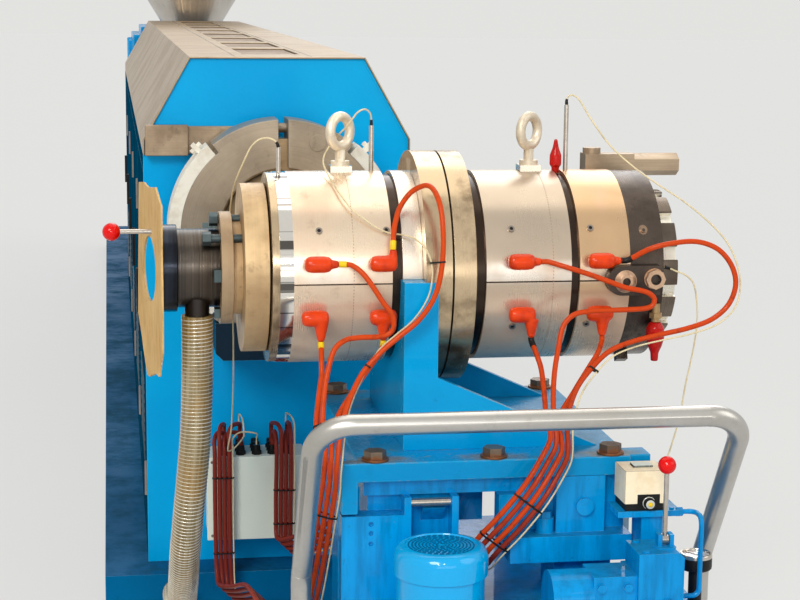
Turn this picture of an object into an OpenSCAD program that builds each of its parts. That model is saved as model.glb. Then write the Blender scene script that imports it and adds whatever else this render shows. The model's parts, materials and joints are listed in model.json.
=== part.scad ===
// Pipe coating extruder: single screw machine with a crosshead die on its lift carriage.
// X runs along the die head, Y along the extruder, Z up. The origin is on the floor,
// where the axis of the die head crosses the axis of the screw.

/* [Axes] */
// Height of the screw and of the die head above the floor
head_z = 1000; // [940:10:1060]
// Outlet face of the die head, measured from the screw axis
outlet_x = -319; // [-340:1:-300]

/* [Die outlet] */
// Length of the blued outlet ring
ring_l = 38; // [25:1:50]
// Radius of the blued outlet ring
ring_r = 93; // [88:1:110]
// Length of the turned outlet sleeve
sleeve_l = 89; // [70:1:110]
// Radius of the turned outlet sleeve
sleeve_r = 84; // [78:1:87]
// Thickness of the centring plate
centring_l = 26; // [18:1:32]
// Radius of the centring plate
centring_r = 120; // [112:1:130]
// Length of the polished neck
neck_l = 19; // [12:1:30]
// Radius of the polished neck
neck_r = 100; // [90:1:108]
// Thickness of the outlet flange
outlet_flange_l = 50; // [40:1:60]
// Radius of the outlet flange
outlet_flange_r = 180; // [165:1:190]
// Radius of the bore that the pipe runs through
pipe_bore_r = 62; // [50:1:68]

/* [Die body] */
// Radius of the die body under the heater bands
core_r = 197; // [192:1:200]
// Radius of the spigots that centre the pieces of the head
spigot_r = 130; // [110:1:150]
// Width of the groove behind the outlet flange
flange_gap = 4; // [2:1:8]
// Width of the shoulder ring
shoulder_l = 15; // [10:1:20]
// Radius of the shoulder ring
shoulder_r = 203; // [201:1:206]
// Width of the chromed strap
strap_l = 28; // [20:1:36]
// Length of the long heater band by the outlet
band_a_l = 203; // [190:1:215]
// Bare stretch between the long band and the saddle cap
bare_a_l = 21; // [15:1:28]
// Width of the saddle cap
cap_l = 42; // [36:1:50]
// Thickness of the left centre flange
flange_a_l = 55; // [45:1:65]
// Width of the groove between the centre flanges
groove_l = 4; // [2:1:8]
// Thickness of the right centre flange
flange_b_l = 46; // [38:1:56]
// Radius of the centre flanges
centre_flange_r = 248; // [240:1:256]
// Bare stretch beside the right centre flange
bare_b_l = 29; // [20:1:36]
// Length of the middle heater band
band_b_l = 181; // [170:1:195]
// Bare stretch between the two right heater bands
bare_c_l = 18; // [12:1:24]
// Length of the short heater band
band_c_l = 108; // [95:1:120]
// Length of the end housing
housing_l = 73; // [60:1:85]
// Radius of the end housing
housing_r = 203; // [196:1:206]
// Length of the slotted lock nut
nut_l = 45; // [35:1:55]
// Radius of the slotted lock nut
nut_r = 160; // [150:1:175]
// Spanner slots round the lock nut
nut_slots = 12; // [8:1:16]

/* [Heater bands] */
// Thickness of a heater band
band_t = 7.7; // [6:0.1:8.5]
// Distance of the split line below the axis
seam_drop = 8; // [4:1:12]
// Gap in the split line
seam_gap = 3; // [2:0.5:5]
// Length of a plug boot
boot_l = 58; // [54:1:66]
// Largest radius of a plug boot
boot_r = 17; // [15:0.5:18]
// Radius of the neck that the lead comes out of
boot_neck_r = 7.5; // [7:0.5:9]
// Distance between a heater band and the plug boots on it
boot_stand = 6; // [5:0.5:9]
// Radius of a temperature probe
probe_r = 5; // [4:0.5:6]
// Radius of the head of a band screw
screw_r = 7; // [6:0.5:9]
// Outer diameter of a lifting eye
eye_d = 85; // [70:1:95]

/* [Saddle] */
// Thickness of the saddle post
post_l = 71; // [60:1:85]
// Width of the saddle post
post_w = 500; // [480:5:540]
// Thickness of a gusset
gusset_t = 22; // [16:1:30]
// Height of a gusset at the post
gusset_h = 152; // [120:1:180]
// Length of a gusset along the plate
gusset_l = 341; // [300:1:360]

/* [Carriage] */
// Height of the top plate's upper face
plate_top_z = 650; // [635:1:665]
// Left end of the top plate
plate_x = 65; // [50:1:80]
// Length of the top plate
plate_l = 565; // [550:5:600]
// Width of the top plate
plate_w = 690; // [670:5:720]
// Thickness of the top plate
plate_t = 40; // [30:1:50]
// Thickness of the sliding plate below it
slide_t = 35; // [25:1:45]
// Pitch of the plate bolts along the plate
plate_bolt_pitch = 245; // [230:1:252]
// Distance between the two rows of plate bolts
plate_bolt_span = 640; // [620:1:650]
// Width across flats of the plate bolts
plate_bolt_af = 41; // [36:1:46]
// Left end of the carriage base
carriage_x = -80; // [-110:5:-60]
// Length of the carriage base
carriage_l = 910; // [880:5:960]
// Height of the carriage base
carriage_h = 120; // [90:5:150]
// Width of the beams of the carriage base
carriage_beam_w = 100; // [80:5:105]
// Width of a lift column
column_w = 120; // [90:5:140]
// Height of the shelf that carries the hydraulic unit
shelf_z = 342; // [325:1:352]

/* [Guard rail] */
// Diameter of the rail tube
rail_d = 42; // [34:1:48]
// Reach of the rail in front of the axis
rail_y = 545; // [530:5:580]
// Height of the rail
rail_z = 778; // [760:1:800]
// Distance of the upright feet in front of the axis
rail_foot_y = 295; // [285:1:310]
// Height of the bend where the uprights lean out
rail_knee_z = 400; // [380:5:430]
// Left upright
rail_left_x = -45; // [-55:1:-35]
// Right upright
rail_right_x = 800; // [790:1:808]
// Radius of the rail's bends
rail_bend = 75; // [60:1:85]

/* [Hydraulic unit] */
// Radius of the pump motor
pump_r = 94; // [80:1:105]
// Height of the pump motor
pump_h = 168; // [150:1:180]
// Distance of the pump motor in front of the axis
pump_y = 450; // [440:1:460]
// Distance of the valve in front of the axis
valve_y = 505; // [503:1:512]
// Length of the valve lever from its pivot to its ball
lever_l = 151; // [140:1:165]
// Radius of the ball on the lever
lever_ball_r = 18; // [15:1:20]
// Radius of the pressure gauge
gauge_r = 33; // [28:1:36]

/* [Clamp ring] */
// Front face of the clamp ring
clamp_y = 570; // [560:1:580]
// Radius of the clamp ring under its heaters
clamp_body_r = 250; // [248:1:252]
// Depth of the clamp ring
clamp_l = 120; // [110:1:128]
// Outer radius of the clamp ring
clamp_r = 274; // [266:1:284]
// Thickness of the ring's lips
clamp_lip = 20; // [15:1:25]
// Radius of the flanges inside the ring
clamp_flange_r = 226; // [215:1:232]
// Radius of the ring's opening
clamp_mouth_r = 156; // [152:1:165]
// Gap between the ring halves
clamp_gap = 24; // [16:1:30]

/* [Extruder] */
// Radius of the screw barrel
barrel_r = 140; // [130:1:145]
// Front face of the hood and the cabinet
hood_y = 722; // [715:1:735]
// Length of the hood
hood_l = 4628; // [4200:10:4900]
// Width of the hood
hood_w = 672; // [650:2:690]
// Width of the hood's flat top
hood_top_w = 440; // [410:2:470]
// Height of the hood's top above its foot
hood_h = 243; // [220:1:260]
// Height of the hood's upright edge
hood_edge_h = 38; // [25:1:50]
// Height of the hood's foot above the floor
hood_foot_z = 1176; // [1170:1:1190]
// Sheet thickness of the hood
hood_t = 4; // [3:0.5:6]
// Vents along the hood
vent_n = 8; // [6:1:8]
// Length of one vent
vent_l = 440; // [380:10:460]
// Width of one vent
vent_w = 150; // [120:5:180]
// Thickness of the cabinet walls
wall_t = 30; // [20:1:40]
// Doors on each side of the cabinet
door_n = 5; // [4:1:5]

/* [Base frame] */
// Width of the base frame
base_w = 892; // [860:2:930]
// Height of the base frame's deck
base_z = 125; // [110:1:140]
// Front edge of the base frame
base_y = 612; // [600:1:620]
// Width of the long beams
base_beam_w = 150; // [130:5:170]
// Height of the levelling feet
foot_h = 22; // [15:1:30]

/* [Drive] */
// Length of the feed throat
throat_l = 420; // [380:10:460]
// Width of the feed throat
throat_w = 460; // [420:10:500]
// Radius of the hopper's rim
hopper_r = 380; // [340:10:400]
// Height of the hopper
hopper_h = 900; // [800:10:1000]
// Sheet thickness of the hopper
hopper_t = 5; // [4:0.5:8]
// Length of the gearbox
gearbox_l = 760; // [700:10:820]
// Width of the gearbox
gearbox_w = 640; // [580:10:680]
// Height of the gearbox
gearbox_h = 760; // [700:10:800]
// Length of the drive motor
motor_l = 780; // [700:10:850]
// Radius of the drive motor
motor_r = 250; // [220:5:260]

/* [Junction box] */
// Left side of the junction box
box_x = -187; // [-200:1:-170]
// Width of the junction box
box_w = 247; // [230:1:260]
// Lower side of the junction box
box_z = 219; // [200:1:240]
// Height of the junction box
box_h = 208; // [190:1:225]
// Depth of the junction box
box_d = 122; // [110:1:130]
// Glands in one row on the box
gland_n = 5; // [4:1:5]
// Distance between two glands
gland_pitch = 40; // [36:1:44]

/* [Hidden] */
eps = 1;
fit = 0.3;
$fn = 64;

// Places along the die head
sleeve_x = outlet_x + ring_l;
centring_x = sleeve_x + sleeve_l;
neck_x = centring_x + centring_l;
outlet_flange_x = neck_x + neck_l;
spigot_x = outlet_flange_x + outlet_flange_l;
shoulder_x = spigot_x + flange_gap;
strap_x = shoulder_x + shoulder_l;
band_a_x = strap_x + strap_l;
cap_x = band_a_x + band_a_l + bare_a_l;
flange_a_x = cap_x + cap_l;
groove_x = flange_a_x + flange_a_l;
flange_b_x = groove_x + groove_l;
band_b_x = flange_b_x + flange_b_l + bare_b_l;
band_c_x = band_b_x + band_b_l + bare_c_l;
housing_x = band_c_x + band_c_l;
nut_x = housing_x + housing_l;
head_end_x = nut_x + nut_l;
band_r = core_r + fit + band_t;
seam_z = head_z - seam_drop;

// Ports at the back of the die head
inlet_y = 225;
inlet_r = 90;
side_inlet_x = band_b_x + band_b_l / 2;
side_inlet_r = 70;
side_flange_r = 110;
side_pcd = 176;
melt_r = 30;

// Places of the pieces on the heater bands, from the screw axis
eye_xs = [68, 480];
// Temperature probes: place along the head and height of the tip above the floor
probe_set = [[-64, 1256], [135, 1302], [562, 1346]];
// Plug boots of the upper and of the lower row, and where their necks are
upper_boots = [-3, 131, 419, 589];
lower_boots = [[-8, 12], [133, 0], [425, 20], [591, 6]];
boot_rise = 37;
boot_fall = 76;
neck_l_up = 12;
neck_l_down = 30;
// Screws in the heater bands: place along the head and angle above the horizontal
band_screws = [[3, 29], [142, 29], [405, 29], [574, 29], [412, -31], [571, -30]];

// Places of the carriage
post_x = cap_x - 3;
slide_z = plate_top_z - plate_t - slide_t;
plate_bolt_x = plate_x + (plate_l - 2 * plate_bolt_pitch) / 2;
column_xs = [plate_x + 25, plate_x + plate_l - 25 - column_w];
column_y = plate_w / 2 - 45;
shelf_t = 12;
shelf_x = 110;
shelf_l = 660;
shelf_reach = valve_y + 65;
front_y = -plate_w / 2;

// Hydraulic unit
lever_x = 657;
lever_pivot_z = 520;
block_x = 592;
block_l = 92;
block_w = 100;
block_h = 163;
coil_x = 597;
coil_y = -428;
coil_z = 557;
ear_t = 8;
ear_gap = 16;
knuckle_r = 9;
pin_r = 4;

// Places along the extruder
clamp_end_y = clamp_y + clamp_l;
joint_y = clamp_y + clamp_l / 2;
panel_t = 8;
lip_l = 6;
hood_end_y = hood_y + hood_l;
hood_slope = atan((hood_w - hood_top_w) / 2 / (hood_h - hood_edge_h));
throat_y = hood_end_y;
gearbox_y = throat_y + throat_l;
motor_y = gearbox_y + gearbox_l + 160;
base_end_y = motor_y + motor_l + 60;
bay_l = (hood_l - panel_t) / door_n;
stand_z = 620;
motor_z = head_z - 60;
vent_margin = 140;
box_y = hood_y - box_d;
guard_r = 150;
guard_y = gearbox_y + gearbox_l + 35;
guard_l = motor_y - guard_y - 35;

// Primitive shapes on the axis of the die head and of the screw
module bar_x(x, l, r) translate([x, 0, head_z]) rotate([0, 90, 0]) cylinder(h = l, r = r);
module bar_y(y, l, r, x = 0) translate([x, y, head_z]) rotate([-90, 0, 0]) cylinder(h = l, r = r);
module tube_x(x, l, r, bore_r) difference() {
    bar_x(x, l, r);
    bar_x(x - eps, l + 2 * eps, bore_r);
}
module hex_bolt(af, h) cylinder(h = h, d = af / cos(30), $fn = 6);
module block(x, y, z, l, w, h) translate([x, y, z]) cube([l, w, h]);

// A tube with eight sides along a list of points
function unit(v) = v / max(norm(v), 0.001);
function tangent(p, i) = unit(p[min(i + 1, len(p) - 1)] - p[max(i - 1, 0)]);
function side_of(t) = unit(cross(abs(t[2]) > 0.9 ? [1, 0, 0] : [0, 0, 1], t));
function carried(s, t) = unit(s - (s * t) * t);
function sides_along(p, i = 0, s = undef) =
    i == len(p) ? [] :
    let (t = tangent(p, i), now = is_undef(s) ? side_of(t) : carried(s, t))
    concat([now], sides_along(p, i + 1, now));
module sweep(p, r, sides = 8) {
    s = sides_along(p);
    points = [for (i = [0:len(p) - 1]) let (u = s[i], v = cross(tangent(p, i), u))
        for (k = [0:sides - 1]) p[i] + r * (cos(360 * k / sides) * u + sin(360 * k / sides) * v)];
    walls = [for (i = [0:len(p) - 2]) for (k = [0:sides - 1]) let (n = (k + 1) % sides)
        [i * sides + k, (i + 1) * sides + k, (i + 1) * sides + n, i * sides + n]];
    first = [[for (k = [0:sides - 1]) k]];
    last = [[for (k = [0:sides - 1]) len(p) * sides - 1 - k]];
    polyhedron(points, concat(first, walls, last), convexity = 6);
}
// A round tube along corner points, with a bend of radius bend at each inner corner.
// The bends are thicker than the straights by swell, as a drawn bend is.
swell = 0.3;
function turn(p, i) = acos(unit(p[i] - p[i - 1]) * unit(p[i + 1] - p[i]));
function cut_back(p, i, bend) = i == 0 || i == len(p) - 1 ? 0 : bend * tan(turn(p, i) / 2) - eps;
module pipe_run(p, r, bend) {
    for (i = [0:len(p) - 2]) {
        d = unit(p[i + 1] - p[i]);
        start = cut_back(p, i, bend);
        translate(p[i] + start * d) rotate([0, acos(d[2]), atan2(d[1], d[0])])
            cylinder(h = norm(p[i + 1] - p[i]) - start - cut_back(p, i + 1, bend), r = r);
    }
    for (i = [1:len(p) - 2]) {
        a = unit(p[i] - p[i - 1]);
        n = unit(unit(p[i + 1] - p[i]) - (unit(p[i + 1] - p[i]) * a) * a);
        c = p[i] - (cut_back(p, i, bend) + eps) * a + bend * n;
        w = cross(-n, a);
        multmatrix([[-n[0], a[0], w[0], c[0]], [-n[1], a[1], w[1], c[1]], [-n[2], a[2], w[2], c[2]], [0, 0, 0, 1]])
            rotate_extrude(angle = turn(p, i)) translate([bend, 0]) circle(r = r + swell);
    }
}
// A sector of a ring round the screw axis, from angle a to angle b above +X
module sector_y(y, l, r_in, r_out, a, b) translate([0, y, head_z]) rotate([90, 0, 0]) rotate([0, 0, a])
    rotate_extrude(angle = b - a) translate([r_in, -l]) square([r_out - r_in, l]);

// Outline of the hood, drawn in by d
function hood_outline(d) = let (
    w = hood_w / 2 - d, wt = hood_top_w / 2 - d * tan((90 - hood_slope) / 2),
    zk = hood_foot_z + hood_edge_h - d * tan(hood_slope / 2), zt = hood_foot_z + hood_h - d)
    [[-w, zk], [-wt, zt], [wt, zt], [w, zk]];
module extrude_y(y, l) translate([0, y + l, 0]) rotate([90, 0, 0]) linear_extrude(l) children();

// Base frame
module base_frame() color("#1583b5") {
    span = base_end_y - base_y;
    union() {
        for (s = [-1, 1]) block(s > 0 ? base_w / 2 - base_beam_w : -base_w / 2, base_y, foot_h,
            base_beam_w, span, base_z - foot_h);
        block(-base_w / 2, base_y, foot_h, base_w, base_beam_w, base_z - foot_h);
        block(-base_w / 2, base_end_y - base_beam_w, foot_h, base_w, base_beam_w, base_z - foot_h);
        block(-base_w / 2, base_y, base_z - 12, base_w, span, 12);
        for (s = [-1, 1], k = [0:6]) translate([s * (base_w - base_beam_w) / 2,
            base_y + base_beam_w / 2 + k * (span - base_beam_w) / 6, 0])
            cylinder(h = foot_h + eps, r = 55);
        // Welded stand under the gearbox and the motor
        block(-gearbox_w / 2 + 20, gearbox_y + 20, base_z - eps, gearbox_w - 40, gearbox_l - 20,
            stand_z - base_z + eps);
        block(-motor_r, motor_y + 60, base_z - eps, 2 * motor_r, motor_l - 160,
            motor_z - motor_r - 40 - base_z + eps);
        block(-guard_r, guard_y, base_z - eps, 2 * guard_r, guard_l, motor_z - guard_r - base_z + eps);
    }
}

// Cabinet
module door_field(s, k) {
    y = hood_y + panel_t + k * bay_l;
    edge = 40;
    depth = 6;
    x = s > 0 ? hood_w / 2 - depth : -hood_w / 2 - eps;
    difference() {
        block(x, y + edge, base_z + edge, depth + eps, bay_l - 2 * edge, hood_foot_z - base_z - 2 * edge);
        block(x - eps, y + edge + 8, base_z + edge + 8, depth + 3 * eps, bay_l - 2 * edge - 16,
            hood_foot_z - base_z - 2 * edge - 16);
    }
}
module cabinet_walls() color("#0f7fb8") difference() {
    h = hood_foot_z - base_z;
    l = hood_l - panel_t;
    union() {
        for (s = [-1, 1]) block(s > 0 ? hood_w / 2 - wall_t : -hood_w / 2, hood_y + panel_t, base_z,
            wall_t, l, h);
        block(-hood_w / 2, hood_end_y - wall_t, base_z, hood_w, wall_t, h);
    }
    bar_y(hood_end_y - wall_t - eps, wall_t + 2 * eps, barrel_r + 20);
    for (s = [-1, 1], k = [0:door_n - 1]) door_field(s, k);
}
module front_panel() color("#0095d9") difference() {
    w = hood_w / 2;
    inner = hood_outline(hood_t + fit);
    extrude_y(hood_y, panel_t) polygon(concat([[-w, base_z], [-w, hood_foot_z],
        [inner[0][0], hood_foot_z]], inner, [[inner[3][0], hood_foot_z], [w, hood_foot_z], [w, base_z]]));
    bar_y(hood_y - eps, panel_t + 2 * eps, barrel_r + 20);
}
module hood_shell() color("#cfc4b4") difference() {
    w = hood_w / 2;
    union() {
        extrude_y(hood_y - lip_l, hood_l + lip_l) difference() {
            polygon(concat([[-w, hood_foot_z]], hood_outline(0), [[w, hood_foot_z]]));
            polygon(concat([[hood_t - w, hood_foot_z - eps]], hood_outline(hood_t),
                [[w - hood_t, hood_foot_z - eps]]));
        }
        extrude_y(hood_end_y - hood_t, hood_t)
            polygon(concat([[-w, hood_foot_z]], hood_outline(0), [[w, hood_foot_z]]));
    }
    pitch = (hood_l - 2 * vent_margin) / vent_n;
    for (k = [0:vent_n - 1])
        block(-vent_w / 2, hood_y + vent_margin + (k + 0.5) * pitch - vent_l / 2,
            hood_foot_z + hood_h - hood_t - eps, vent_w, vent_l, hood_t + 2 * eps);
}
module clamp_bar() color("#b9a98f") union() {
    block(5 - hood_w / 2, hood_y - lip_l - 24, hood_foot_z, 106, 24, 76);
    block(40 - hood_w / 2, hood_y - lip_l - eps, hood_foot_z, 71, lip_l + eps, 72);
    block(110 - hood_w / 2, hood_y - 16, hood_foot_z + 4, 160, 16, 68);
}

// Screw barrel and its clamp
module barrel() color("#6b6256") union() {
    bar_y(joint_y, hood_end_y - joint_y, barrel_r);
    bar_y(joint_y, clamp_l / 2 - clamp_lip, clamp_flange_r);
}
// The ring is thinner where a heater lies round it
heater_arc = 49;
heater_t = 31;
module clamp_half(s) difference() {
    bar_y(clamp_y, clamp_l, clamp_r);
    sector_y(clamp_y - eps, clamp_l + 2 * eps, clamp_body_r, clamp_r + heater_t, (s > 0 ? 0 : 180) - heater_arc - 2,
        (s > 0 ? 0 : 180) + heater_arc + 2);
    bar_y(clamp_y - eps, clamp_l + 2 * eps, clamp_mouth_r);
    bar_y(clamp_y + clamp_lip, clamp_l - 2 * clamp_lip, clamp_flange_r + fit);
    translate([s > 0 ? -2 * clamp_r + clamp_gap / 2 : -clamp_gap / 2, clamp_y - eps, head_z - 2 * clamp_r])
        cube([2 * clamp_r, clamp_l + 2 * eps, 4 * clamp_r]);
    for (up = [-1, 1]) tie_bolt(up, fit);
}
// Bolt that pulls the ring halves together, grown by c for its hole
module tie_bolt(up, c = 0) {
    z = head_z + up * (clamp_flange_r + clamp_r) / 2;
    translate([-70 - c, clamp_y + clamp_l / 2, z]) rotate([0, 90, 0]) cylinder(h = 140 + 2 * c, r = 12 + c);
}
module clamp_ring_left() color("#8a7f70") clamp_half(-1);
module clamp_ring_right() color("#8a7f70") clamp_half(1);
// Tie bolts, and the flush plug in the face of the right half
module ring_bolts() color("#75675a") {
    for (up = [-1, 1]) tie_bolt(up);
    translate([84, clamp_y, head_z + 217]) rotate([90, 0, 0]) cylinder(h = 2, r = 21);
}
// Ceramic heaters round the ring, each with the lugs and screws at its ends
module ring_heater(s) union() {
    sector_y(clamp_y, clamp_l - 20, clamp_body_r + fit, clamp_body_r + heater_t,
        s > 0 ? -heater_arc : 180 - heater_arc, s > 0 ? heater_arc : 180 + heater_arc);
    for (up = [-1, 1]) translate([0, clamp_y + 20, head_z])
        rotate([0, s > 0 ? -up * (heater_arc - 5) : 180 + up * (heater_arc - 5), 0]) {
            block(clamp_body_r + heater_t - eps, 0, -6, 25 + eps, 22, 12);
            translate([clamp_body_r + heater_t + 12, 11, -16]) cylinder(h = 32, r = 6, $fn = 24);
        }
}
module ring_heaters() color("#e8e4da") for (s = [-1, 1]) ring_heater(s);
// Tray under the clamp ring, closed at the front
module tray_outline(d) polygon([[-168 + d, 700 - d], [-150 + d, 682 + d], [150 - d, 682 + d],
    [168 - d, 700 - d], [168 - d, 776 + d * 4], [-168 + d, 776 + d * 4]]);
module drip_tray() color("#234a63") difference() {
    tray_y = clamp_y - 9;
    extrude_y(tray_y, hood_y - tray_y) tray_outline(0);
    extrude_y(tray_y + 5, hood_y - tray_y) tray_outline(4);
}
module adapter_neck() color("#a08d5f") difference() {
    union() {
        translate([0, inlet_y, head_z]) rotate([-90, 0, 0])
            cylinder(h = clamp_y + clamp_lip - inlet_y, r1 = inlet_r, r2 = clamp_mouth_r - 6);
        bar_y(clamp_y + clamp_lip, clamp_l / 2 - clamp_lip, clamp_flange_r);
    }
    bar_y(inlet_y - eps, joint_y - inlet_y + 2 * eps, melt_r);
}

// Feed throat, hopper and drive
module feed_throat() color("#0f7fb8") difference() {
    union() {
        block(-throat_w / 2, throat_y, head_z - 240, throat_w, throat_l, 480);
        block(-throat_w / 2 + 60, throat_y + 40, base_z, throat_w - 120, throat_l - 80, head_z - 240 - base_z + eps);
    }
    translate([0, throat_y + throat_l / 2, head_z]) cylinder(h = 240 + eps, r = 80);
}
module hopper() color("#c9c9c6") translate([0, throat_y + throat_l / 2, head_z + 240]) rotate_extrude($fn = 64) {
    t = hopper_t;
    flange_t = 16;
    cone_h = hopper_h * 0.6;
    polygon([[80, 0], [170, 0], [170, flange_t], [80 + t, flange_t], [80 + t, 60], [hopper_r, cone_h],
        [hopper_r, hopper_h], [hopper_r + 12, hopper_h], [hopper_r + 12, hopper_h + t],
        [hopper_r - t, hopper_h + t], [hopper_r - t, cone_h + 2], [80, 62]]);
}
module gearbox() color("#0f7fb8") {
    z = stand_z;
    h = gearbox_h;
    union() {
        block(-gearbox_w / 2 + 30, gearbox_y, z, gearbox_w - 60, gearbox_l, h - 40);
        block(-gearbox_w / 2, gearbox_y + 20, z, gearbox_w, gearbox_l - 40, 40);
        block(-gearbox_w / 2, gearbox_y + 20, head_z - 30, gearbox_w, gearbox_l - 40, 60);
        block(-gearbox_w / 2 + 70, gearbox_y + 60, z + h - 60, gearbox_w - 140, gearbox_l - 120, 60);
        for (s = [-1, 1], k = [1:4]) block(s > 0 ? gearbox_w / 2 - 31 : -gearbox_w / 2 + 6,
            gearbox_y + k * gearbox_l / 5 - 10, z + 30, 25, 20, h - 100);
        translate([0, gearbox_y + gearbox_l - eps, motor_z]) rotate([-90, 0, 0]) cylinder(h = 31, r = 110);
    }
}
module drive_motor() color("#1b6fa3") translate([0, motor_y, motor_z]) {
    union() {
        rotate([-90, 0, 0]) cylinder(h = motor_l, r = motor_r - 28);
        rotate([-90, 0, 0]) cylinder(h = 50, r = motor_r);
        translate([0, motor_l - 150, 0]) rotate([-90, 0, 0]) cylinder(h = 150, r = motor_r);
        for (a = [0:12:348]) rotate([0, a, 0]) block(-3, 40, motor_r - 50, 6, motor_l - 180, 42);
        block(-120, 160, motor_r - 30, 240, 260, 120);
        for (s = [-1, 1], y = [90, motor_l - 240]) block(s > 0 ? motor_r - 110 : -motor_r + 10, y,
            -motor_r - 40, 100, 90, 90);
        translate([0, -30, 0]) rotate([-90, 0, 0]) cylinder(h = 31, r = 100);
    }
}
module guard_arch(r, y, l) {
    translate([0, y, motor_z]) rotate([-90, 0, 0]) cylinder(h = l, r = r);
    block(-r, y, motor_z - guard_r - (r < guard_r ? eps : 0), 2 * r, l, guard_r + (r < guard_r ? eps : 0));
}
module coupling_guard() color("#e0b020") difference() {
    guard_arch(guard_r, guard_y, guard_l);
    guard_arch(guard_r - 4, guard_y - eps, guard_l + 2 * eps);
}

// Junction box
module junction_box() color("#a9b0ae") union() {
    block(box_x, box_y, box_z, box_w, box_d, box_h);
    block(box_x - 3, box_y - 10, box_z - 3, box_w + 6, 12, box_h + 6);
}
function gland_x(k) = box_x + box_w / 2 + (k - (gland_n - 1) / 2) * gland_pitch;
gland_ys = [box_y + 28, box_y + 61, box_y + 94];
gland_top_z = box_z + box_h + 24;
module box_glands() color("#202020") for (k = [0:gland_n - 1], y = gland_ys)
    translate([gland_x(k), y, box_z + box_h]) union() {
        hex_bolt(22, 10);
        translate([0, 0, 9]) cylinder(h = 15, r = 9.5, $fn = 32);
    }

// Die head
module outlet_ring() color("#2b3350") tube_x(outlet_x, ring_l, ring_r, pipe_bore_r);
module outlet_sleeve() color("#4a4038") tube_x(sleeve_x, sleeve_l, sleeve_r, pipe_bore_r);
// Centring bolts through the plate: angle above the horizontal and length of shank left of it
centring_bolts = [[90, 2], [44, 20], [135, 12], [180, 20], [225, 2]];
centring_bolt_r = 9;
module centring_bolt(b, c = 0) translate([centring_x, 0, head_z]) rotate([90 - b[0], 0, 0])
    translate([0, 0, centring_r - 16]) rotate([0, 90, 0]) {
        translate([0, 0, -b[1] - c]) cylinder(h = b[1] + centring_l + neck_l + 2 * c, r = centring_bolt_r + c, $fn = 32);
        if (c == 0) translate([0, 0, -b[1] - 18]) hex_bolt(26, 18.5);
    }
module centring_plate() color("#9a8466") difference() {
    bar_x(centring_x, centring_l, centring_r);
    bar_x(centring_x - eps, centring_l + 2 * eps, pipe_bore_r);
    for (b = centring_bolts) centring_bolt(b, fit);
}
// The bolts, and the two stops on the plate's front
module outlet_bolts() color("#5b6468") {
    for (b = centring_bolts) centring_bolt(b);
    block(centring_x - 16, -centring_r + 2, head_z - 14, 16, 18, 26);
    block(centring_x - 12, -60, head_z - centring_r + 20, 12, 30, 20);
}
module outlet_flange() color("#a08d78") difference() {
    union() {
        bar_x(neck_x, neck_l + eps, neck_r);
        bar_x(outlet_flange_x, outlet_flange_l, outlet_flange_r);
    }
    bar_x(neck_x - eps, neck_l + outlet_flange_l + 2 * eps, pipe_bore_r);
    for (b = centring_bolts) centring_bolt(b, fit);
}
module die_body() color("#6d6459") difference() {
    union() {
        bar_x(spigot_x, flange_gap + eps, spigot_r);
        bar_x(shoulder_x, shoulder_l, shoulder_r);
        bar_x(strap_x - eps, flange_a_x - strap_x + 2 * eps, core_r);
        bar_x(flange_a_x, flange_a_l, centre_flange_r);
        bar_x(groove_x - eps, groove_l + eps, spigot_r);
        bar_y(0, inlet_y, inlet_r);
        for (x = eye_xs) if (x < flange_a_x) eye_pad(x);
    }
    bar_x(spigot_x - eps, flange_b_x - spigot_x + 2 * eps, pipe_bore_r);
    bar_y(pipe_bore_r + 40, inlet_y, melt_r);
}
module rear_body() color("#6d6459") difference() {
    union() {
        bar_x(flange_b_x, flange_b_l, centre_flange_r);
        bar_x(flange_b_x, housing_x - flange_b_x, core_r);
        bar_y(0, inlet_y, side_inlet_r, side_inlet_x);
        for (x = eye_xs) if (x > flange_b_x) eye_pad(x);
    }
    bar_x(flange_b_x - eps, housing_x - flange_b_x + 2 * eps, pipe_bore_r);
    bar_y(pipe_bore_r + 40, inlet_y, melt_r, side_inlet_x);
}
module eye_pad(x) block(x - 23, -23, head_z + core_r - 10, 46, 46, band_r - core_r + 22);
module end_housing() color("#3a3530") difference() {
    union() {
        bar_x(housing_x, housing_l, housing_r);
        // Lug at the front with its two screws
        block(housing_x - 25, -band_r - 27, head_z - 36, 83, 26.5, 62);
        translate([housing_x - 25, -band_r - 0.5, head_z - 5]) rotate([90, 0, 0]) cylinder(h = 26.5, r = 31);
        block(housing_x + fit, -band_r - 10, head_z - 36, 58 - fit, 40, 62);
        translate([housing_x - 17, -band_r - 26, head_z - 6]) rotate([90, 0, 0]) cylinder(h = 9, r1 = 24, r2 = 14);
        translate([housing_x + 44, -band_r - 26, head_z - 1]) rotate([90, 0, 0]) cylinder(h = 16, r = 21, $fn = 8);
        // Tab at the bottom and the screw at the front
        translate([housing_x + 6, 0, head_z]) rotate([90 + 66, 0, 0]) block(0, -12, housing_r - 4, 24, 24, 22);
        screw_at([housing_x + 32, 28], housing_r - 3, 7, screw_r);
    }
    bar_x(housing_x - eps, housing_l + 2 * eps, pipe_bore_r);
    translate([housing_x - 17, -band_r - 40, head_z - 6]) rotate([-90, 0, 0]) cylinder(h = 12, r = 8);
    translate([housing_x + 44, -band_r - 46, head_z - 1]) rotate([-90, 0, 0]) cylinder(h = 14, r = 11, $fn = 6);
}
module lock_nut() color("#3a3530") difference() {
    bar_x(nut_x, nut_l, nut_r);
    bar_x(nut_x - eps, nut_l + 2 * eps, pipe_bore_r);
    for (k = [0:nut_slots - 1]) translate([nut_x + 10, 0, head_z]) rotate([360 * (k + 0.5) / nut_slots, 0, 0])
        block(0, -14, nut_r - 14, nut_l, 28, 30);
}

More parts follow.
